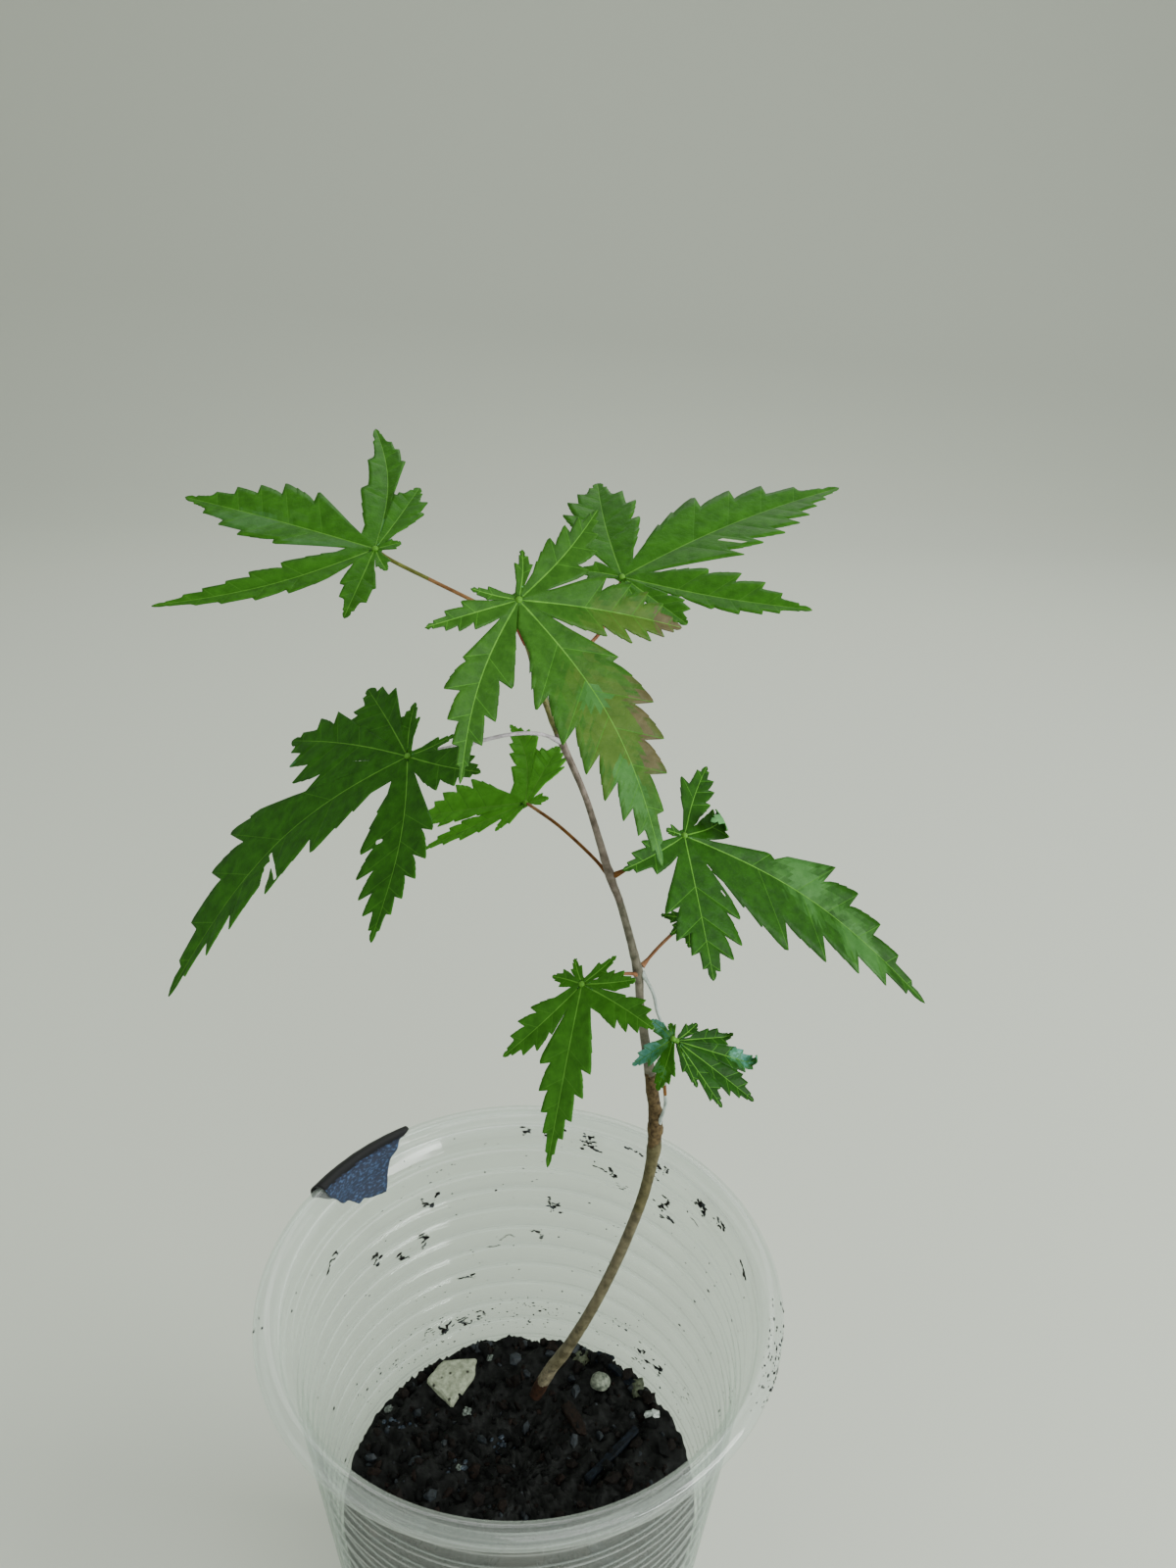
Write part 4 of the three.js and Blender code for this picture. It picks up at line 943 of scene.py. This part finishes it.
def blend(code, other, share):
    """Hex colour part of the way from one to another."""
    pairs = [(int(code[i:i + 2], 16), int(other[i:i + 2], 16)) for i in (1, 3, 5)]
    return "#" + "".join(f"{round(p + (q - p) * share):02x}" for p, q in pairs)


def foliage(name, colour, light, roughness, through=0.2, sheen=0.15):
    """Living tissue in a plain colour that mottles a little, with fine bump, and lets some light through."""
    made = speckled(name, colour, light, roughness, size=1.6, sheen=sheen)
    shader = made.node_tree.nodes["Principled BSDF"]
    colours = shader.inputs["Base Color"].links[0].from_socket
    glow = add(made, "ShaderNodeBsdfTranslucent", links={"Color": colours})
    both = add(made, "ShaderNodeMixShader", {0: through}, {1: shader.outputs[0], 2: glow.outputs[0]})
    made.node_tree.links.new(both.outputs[0], made.node_tree.nodes["Material Output"].inputs["Surface"])
    return made


# Leaf colours, each a look of its own: greens that differ from leaf to leaf, and tints that fade into them in
# three steps: olive and bronze where a leaf ages, a painted grey sheen where it bends, bluish teeth. Veins
# are paler.
# Painted light and shade: the lighter green of leaf_e is painted light, and the darker greens of leaf_c,
# leaf_f, leaf_g and leaf_i are partly their own colour and partly painted shade.
GREENS = {"green": ("#2a5f0d", "#387416"), "deep_green": ("#21520a", "#2f6a12"),
          "dark_green": ("#1b4508", "#26590e"), "fresh_green": ("#428618", "#529c24"),
          "dull_green": ("#27530f", "#356718"), "shaded_green": ("#153c06", "#1e500b")}
TINTS = {
    "olive": ("#3f5e1a", "#4c6a24"),
    "bronze": ("#4f4c2f", "#605b3b"),
    # Painted sheen: a pale grey-green patch in place of light reflected where the blade bends.
    "sheen": ("#386a2c", "#457838"),
    "bluish": ("#3f8472", "#6fae9a"),
    "scratch": ("#b9c6a4", "#d6dfc6"),
}
STEPS = (0.35, 0.7, 1)
LOOKS = {name: foliage(f"leaf_{name}", *pair, 0.5) for name, pair in GREENS.items()}
LOOKS["vein"] = foliage("leaf_vein", "#4e8a26", "#629c36", 0.5)
LOOKS["side_vein"] = foliage("leaf_side_vein", "#38701a", "#478023", 0.5)
underside = foliage("leaf_underside", "#4c8a4c", "#64a05f", 0.6)
STALK_LOOKS = {
    "stalk_olive": foliage("stalk_olive", "#525620", "#6f7433", 0.45, through=0.1),
    "stalk_tan": foliage("stalk_tan", "#6e4c2a", "#8c6a42", 0.45, through=0.1),
    "stalk_brick": foliage("stalk_brick", "#6a2c1c", "#8a4530", 0.45, through=0.1),
    "stalk_pink": foliage("stalk_pink", "#74492c", "#9a7050", 0.45, through=0.1),
    "stalk_brown": foliage("stalk_brown", "#573516", "#7e5528", 0.45, through=0.1),
    # Painted highlight: the pale mauve, bluish and silvery stalks are partly their own colour and partly
    # highlight.
    "stalk_mauve_highlight": foliage("stalk_mauve_highlight", "#8f8a8c", "#bdb8bb", 0.38, through=0.1),
    "stalk_bluish_highlight": foliage("stalk_bluish_highlight", "#6f8068", "#98a890", 0.4, through=0.1),
    "stalk_silver_highlight": foliage("stalk_silver_highlight", "#85918a", "#bac4bd", 0.36, through=0.1),
}
CUT_NEAR = 1


def near_line(x, y, cut):
    """Distance from a place to a cut's middle line."""
    x0, y0, x1, y1, _ = cut
    dx, dy = x1 - x0, y1 - y0
    t = max(0, min(1, ((x - x0) * dx + (y - y0) * dy) / (dx * dx + dy * dy)))
    return math.hypot(x - x0 - t * dx, y - y0 - t * dy)


def look_at(leaf, x, y, vein, number):
    """Name of the look of a blade face at a place in the leaf's plane."""
    if vein:
        return "vein" if vein == 2 else "side_vein"
    strongest = 0
    look = leaf["green"]
    for tint, (tx, ty), (rx, ry) in leaf.get("tints", ()):
        broad = noise.noise(Vector((x * 0.6, y * 0.6, number)))
        fine = noise.noise(Vector((x * 2, y * 2, 3)))
        ragged = 1 + 0.6 * broad + 0.3 * fine
        strength = 1.35 * ragged - math.hypot((x - tx) / rx, (y - ty) / ry)
        if strength > strongest:
            strongest = strength
            step = STEPS[min(2, int(strength / 0.3))]
            look = f"{leaf['green']}_{tint}_{round(step * 100)}"
            if look not in LOOKS:
                mixed = [blend(base, other, step) for base, other in zip(GREENS[leaf["green"]], TINTS[tint])]
                LOOKS[look] = foliage(f"leaf_{look}", *mixed, 0.48)
    return look


for number, (name, leaf) in enumerate(LEAVES.items()):
    points, faces, veins = blade(leaf, number + 1)
    azimuth, elevation = map(math.radians, leaf["facing"])
    level = math.cos(elevation)
    up = Vector((level * math.cos(azimuth), level * math.sin(azimuth), math.sin(elevation)))
    side = Vector((-math.sin(azimuth), math.cos(azimuth), 0))
    other = up.cross(side)
    hub = Vector(leaf["at"])
    looks = []
    for face, vein in zip(faces, veins):
        x = sum(points[k][0] for k in face) / len(face)
        y = sum(points[k][1] for k in face) / len(face)
        looks.append(look_at(leaf, x, y, vein, number))
    used = sorted(set(looks))
    slots = [LOOKS[look] for look in used] + [underside] * len(used) + list(STALK_LOOKS.values())
    spots = [(hub + side * x + other * y + up * rise) * MM for x, y, rise in points]
    piece = mesh_piece(f"maple_{name}", spots, faces, [used.index(look) for look in looks], slots)
    bpy.ops.object.select_all(action="DESELECT")
    piece.select_set(True)
    bpy.context.view_layer.objects.active = piece
    bpy.ops.object.mode_set(mode="EDIT")
    bpy.ops.mesh.select_all(action="SELECT")
    bpy.ops.mesh.remove_doubles(threshold=0.02 * MM)
    for cut in leaf.get("cuts", ()):
        for near in (CUT_NEAR, 2 * cut[4] + 0.25, cut[4]):
            bpy.ops.mesh.select_mode(type="FACE")
            bpy.ops.mesh.select_all(action="DESELECT")
            bpy.ops.object.mode_set(mode="OBJECT")
            for face in piece.data.polygons:
                place = face.center / MM - hub
                face.select = near_line(place.dot(side), place.dot(other), cut) < near
            bpy.ops.object.mode_set(mode="EDIT")
            if near > cut[4]:
                bpy.ops.mesh.subdivide(number_cuts=3)
            else:
                bpy.ops.mesh.delete(type="FACE")
    bpy.ops.object.mode_set(mode="OBJECT")
    bpy.ops.object.shade_smooth_by_angle(angle=math.radians(40))
    thick = piece.modifiers.new("thickness", "SOLIDIFY")
    thick.thickness = LEAF_THICKNESS * MM
    thick.material_offset = len(used)
    bpy.ops.object.modifier_apply(modifier=thick.name)
    route = [(*leaf["at"], STALK_RADIUS * 0.8), *[(*p, STALK_RADIUS) for p in leaf["stalk"]]]
    foot = []
    for k, (x, y, z, r) in enumerate(spline(route, STALK_RINGS)):
        foot.append((x, y, z, r * (1 + 0.9 * max(0, k / STALK_RINGS - 0.88) / 0.12)))
    stalk = tube(f"stalk_{name}", foot, 8)
    for made in slots:
        stalk.data.materials.append(made)
    # Each face of the stalk takes its look from how far along it lies, and a green knot covers the hub.
    for face in stalk.data.polygons:
        near = min(range(len(foot)), key=lambda k: (Vector(foot[k][:3]) * MM - face.center).length)
        share = near / STALK_RINGS + 0.05 * noise.noise(face.center / MM)
        look = next((look for top, look in leaf["stalk_looks"] if share < top), leaf["stalk_looks"][-1][1])
        face.material_index = 2 * len(used) + list(STALK_LOOKS).index(look)
    bpy.ops.mesh.primitive_ico_sphere_add(subdivisions=2, radius=HUB_RADIUS * MM, location=hub * MM)
    knot = bpy.context.object
    bpy.ops.object.shade_smooth()
    for made in slots:
        knot.data.materials.append(made)
    knot.data.polygons.foreach_set("material_index", [used.index("vein")] * len(knot.data.polygons))
    bpy.ops.object.select_all(action="DESELECT")
    knot.select_set(True)
    stalk.select_set(True)
    piece.select_set(True)
    bpy.context.view_layer.objects.active = piece
    bpy.ops.object.join()
    bpy.ops.object.material_slot_remove_unused()
    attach(piece, "root")
    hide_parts(name)

# Tape: a torn strip of dark tape folded over the lip at the back left. It is near black where it bends, ends
# just under the lip outside, and hangs inside as a ragged blue flap. TAPE_DEPTHS gives a share of its width
# and how far it reaches down from the lip there, in mm.
TAPE_FROM = 125
TAPE_TO = 154
TAPE_STEPS = 60
TAPE_POINTS = 44
TAPE_THICKNESS = 0.22
TAPE_CLEAR = 0.34
BLUE_FROM_RIM = 2.4
# Route of the flap down the inside of the wall: distance in from the rim, and down from the top.
TAPE_INSIDE = ((3.8, 3.3), (4.45, 4.2), (4.8, 5.4), (5.7, 12))
TAPE_DEPTHS = ((0, -2.4), (0.2, -0.4), (0.35, 2.8), (0.4, 5.4), (0.74, 3.7), (0.9, 1.7), (1, -0.4))


def tape_row(depth, rim, top):
    """(radius, height) points up the outside, over the lip and down the inside to a depth below it."""
    grow = LIP_ROUND + TAPE_CLEAR
    way = [Vector((rim - LIP_ROUND - 2.2, top - 9.8)), Vector((rim - LIP_ROUND - 1, top - LIP_ROUND - 2.3))]
    for turn in range(-110, 166, 5):
        angle = math.radians(turn)
        over = Vector((math.cos(angle), math.sin(angle))) * grow
        way.append(Vector((rim - LIP_ROUND, top - LIP_ROUND)) + over)
    inner_start = len(way) - 1
    way += [Vector((rim - back, top - drop)) for back, drop in TAPE_INSIDE]
    sums = [0]
    for p, q in zip(way, way[1:]):
        sums.append(sums[-1] + (q - p).length)
    begin = sums[2] + 2.5 - 0.9 * max(0, depth)
    row = []
    for j in range(TAPE_POINTS + 1):
        goal = begin + (sums[inner_start] + depth - begin) * j / TAPE_POINTS
        k = max(1, next(i for i, total in enumerate(sums) if total >= goal - 1e-6))
        row.append(way[k - 1].lerp(way[k], (goal - sums[k - 1]) / (sums[k] - sums[k - 1])))
    return row


tape = primitive("rim_tape", bpy.ops.mesh.primitive_grid_add, x_subdivisions=TAPE_STEPS,
                 y_subdivisions=TAPE_POINTS, size=1)
tape_rows = []
for i in range(TAPE_STEPS + 1):
    share = i / TAPE_STEPS
    torn = 0.6 * noise.noise(Vector((share * 13, 2, 5)))
    depth = value_at(TAPE_DEPTHS, share) + torn
    tape_rows.append(tape_row(depth, cup_high.x / MM, cup_high.z / MM))
for vertex in tape.data.vertices:
    share, down = vertex.co.x + 0.5, vertex.co.y + 0.5
    r, z = tape_rows[round(share * TAPE_STEPS)][round(down * TAPE_POINTS)]
    r += 0.05 * (1 + noise.noise(Vector((share * 9, down * 6, 0))))
    turn = math.radians(TAPE_FROM + (TAPE_TO - TAPE_FROM) * share)
    vertex.co = (r * math.cos(turn) * MM, r * math.sin(turn) * MM, z * MM)
bpy.ops.object.mode_set(mode="EDIT")
bpy.ops.mesh.select_all(action="SELECT")
bpy.ops.mesh.normals_make_consistent(inside=False)
bpy.ops.object.mode_set(mode="OBJECT")
bpy.ops.object.shade_smooth()
thick = tape.modifiers.new("thickness", "SOLIDIFY")
thick.thickness = TAPE_THICKNESS * MM
thick.offset = 0
bpy.ops.object.modifier_apply(modifier=thick.name)

# Tape back: near black and glossy where it bends over the lip.
black_tape, shell = start_material("black_tape", "#06080b", 0.5)
shell.inputs["Specular IOR Level"].default_value = 0.3
# Tape cloth: dark blue, with fine pale threads that run round the cup.
cloth, shell = start_material("blue_tape_cloth", "#0c1a30", 0.8)
where = add(cloth, "ShaderNodeTexCoord")
stretch = add(cloth, "ShaderNodeMapping", {"Scale": (1900, 1900, 5000)}, {"Vector": where.outputs["Object"]})
threads = add(cloth, "ShaderNodeTexNoise", {"Scale": 1, "Detail": 4}, {"Vector": stretch.outputs[0]})
blue = two_tones(cloth, threads.outputs["Fac"], (0.5, "#0b182d"), (0.68, "#2e4a6c"))
cloth.node_tree.links.new(blue, shell.inputs["Base Color"])
tape.data.materials.append(black_tape)
tape.data.materials.append(cloth)
for face in tape.data.polygons:
    if face.center.xy.length < cup_high.x - BLUE_FROM_RIM * MM:
        face.material_index = 1
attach(tape, "root")
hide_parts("tape")

# Specks: bits of the mix stuck to the inside of the wall, most of them at the right and back.
# Each place is an angle round the cup in degrees and a height in mm.
SPECK_PLACES = (
    (73.7, 92.4), (58.1, 92.6), (47.9, 92.6), (33.4, 91.5), (24.5, 92.2), (66.7, 87.4), (115.6, 56.4),
    (123.2, 56), (108.4, 56.2), (134.4, 75.1), (143.7, 76.6), (110.4, 65.5), (91, 72.9), (83.5, 78.1),
    (46.5, 85.7), (31.9, 92.4), (7, 93), (40.2, 56.5), (47.7, 56.1), (126.1, 76.6), (157.7, 85.4),
    (85.6, 92), (73.4, 90.9), (92.6, 92.2), (122.6, 81.8),
)
SPECK_TOP = 93.2
SCATTERED = 650
# Specks on the lip: angle round it in degrees, how many, and how far they spread.
LIP_SPECKS = ((-20, 90, 4.5), (-165, 8, 1.2), (-8, 14, 3))
# Fibres along the wall: angle, height, how many bits and how much it waves.
THREADS = ((96, 72, 9, 0.5), (101, 70.6, 7, -0.2), (126, 57, 8, 1.2), (60, 86, 7, -0.9), (33, 88, 6, 0.3))


def speck(turn, z, size, rng, longer=1):
    """A flat lump on the inside of the wall, drawn out along it when longer is more than 1."""
    angle = math.radians(turn)
    r = inner_radius(z) - 0.15 * size
    half = (size * 0.45, size * longer * rng.uniform(0.7, 1.5), size * rng.uniform(0.5, 1))
    return lump((r * math.cos(angle), r * math.sin(angle), z), half, (0, 0, angle), rng, 0.35)


rng = random.Random(5)
rows = []
for turn, z in SPECK_PLACES:
    heading = rng.uniform(0, 2 * math.pi)
    at_turn, at_z = turn, z
    for _ in range(rng.randint(12, 26)):
        heading += rng.gauss(0, 0.9)
        at_turn += 0.75 * math.cos(heading)
        at_z += 0.32 * math.sin(heading)
        if rng.random() < 0.2:
            at_turn, at_z = turn + rng.gauss(0, 1.4), z + rng.gauss(0, 0.7)
        size = rng.uniform(0.08, 0.3)
        rows.append((speck(at_turn, min(at_z, SPECK_TOP), size, rng, 1.3), rng.choice((0, 0, 1, 3))))
for turn, z, count, rise in THREADS:
    for k in range(count):
        rows.append((speck(turn + 0.55 * k, z + rise * math.sin(0.5 * k), 0.09, rng, 3.2), 0))
for _ in range(SCATTERED):
    turn = rng.choice((rng.gauss(45, 30), rng.gauss(110, 30), rng.uniform(-180, 180)))
    z = rng.choice((rng.uniform(53, 60), rng.uniform(56, 93)))
    size = rng.uniform(0.04, 0.15) * rng.choice((1, 1, 1, 1.6))
    rows.append((speck(turn, z, size, rng), rng.choice((0, 1, 3))))
for turn, count, spread in LIP_SPECKS:
    for _ in range(count):
        angle = math.radians(rng.gauss(turn, spread))
        round_lip = math.radians(rng.uniform(-20, 110))
        r = cup_high.x / MM - LIP_ROUND + LIP_ROUND * math.cos(round_lip)
        z = cup_high.z / MM - LIP_ROUND + (LIP_ROUND - 0.05) * math.sin(round_lip)
        size = rng.uniform(0.06, 0.24)
        half = (size * 0.5, size * rng.uniform(0.8, 1.6), size * 0.5)
        spot = (r * math.cos(angle), r * math.sin(angle), z)
        rows.append((lump(spot, half, (0, 0, angle), rng), rng.choice((0, 3))))
specks = lumps_mesh("wall_specks", rows, crumb_looks)
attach(specks, "root")

# Stage: a plain pale floor that curves up into a wall far behind.
STAGE_WIDTH = 6
STAGE_FRONT = -1.5
STAGE_BACK = 1.6
STAGE_BEND = 0.8
STAGE_TOP = 3
stage_line = [(STAGE_FRONT, 0), (STAGE_BACK - STAGE_BEND, 0)]
for step in range(1, 13):
    angle = math.pi / 2 * step / 12
    back = STAGE_BACK - STAGE_BEND + STAGE_BEND * math.sin(angle)
    stage_line.append((back, STAGE_BEND * (1 - math.cos(angle))))
stage_line.append((STAGE_BACK, STAGE_TOP))
floor = primitive("pale_floor", bpy.ops.mesh.primitive_grid_add, x_subdivisions=1,
                  y_subdivisions=len(stage_line) - 1, size=1)
for vertex in floor.data.vertices:
    y, z = stage_line[round((vertex.co.y + 0.5) * (len(stage_line) - 1))]
    vertex.co = (vertex.co.x * STAGE_WIDTH, y, z)
bpy.ops.object.shade_smooth()
paper, _ = start_material("pale_paper", "#c9cfc2", 0.9)
floor.data.materials.append(paper)

# Light: a soft window from the right, weaker light from the front, left and back, a long low lamp that
# glints on the ribs at the back left, and a pale surround.
LAMPS_AIM = (0, 0, 0.11)
for name, place, size, power in (
    ("window", (0.85, -0.25, 0.5), (0.42, 0.42), 6.8),
    ("front_fill", (0.3, -0.75, 0.75), (0.7, 0.7), 6),
    ("left_fill", (-0.8, -0.5, 0.5), (0.9, 0.9), 2.5),
    ("back_rim", (0.1, 0.7, 0.7), (0.6, 0.6), 3),
    ("low_glint", (0.88, -0.44, 0.26), (0.8, 0.11), 6),
):
    lamp = bpy.data.lights.new(name, "AREA")
    lamp.shape = "RECTANGLE"
    lamp.size, lamp.size_y = size
    lamp.energy = power
    holder = bpy.data.objects.new(name, lamp)
    holder.location = place
    holder.rotation_euler = (Vector(LAMPS_AIM) - Vector(place)).to_track_quat("-Z", "Y").to_euler()
    bpy.context.collection.objects.link(holder)
world = bpy.data.worlds.new("pale_surround")
world.use_nodes = True
world.node_tree.nodes["Background"].inputs["Color"].default_value = linear("#e9ede6")
world.node_tree.nodes["Background"].inputs["Strength"].default_value = 0.55
bpy.context.scene.world = world

# Camera: looks down into the cup from the front, as the photograph does.
CAMERA_AT = (6.9, -113.6, 222.6)
CAMERA_TILT = 64.38
CAMERA_ROLL = 1.73
CAMERA_LENS = 27.05
CAMERA_SENSOR = 36
camera = bpy.data.objects.new("camera", bpy.data.cameras.new("camera"))
camera.data.lens = CAMERA_LENS
camera.data.sensor_width = CAMERA_SENSOR
tilt = Matrix.Rotation(math.radians(CAMERA_TILT), 4, "X")
roll = Matrix.Rotation(math.radians(CAMERA_ROLL), 4, "Z")
camera.matrix_world = Matrix.Translation(Vector(CAMERA_AT) * MM) @ tilt @ roll
camera.data.clip_start = 0.01
bpy.context.collection.objects.link(camera)
bpy.context.scene.camera = camera
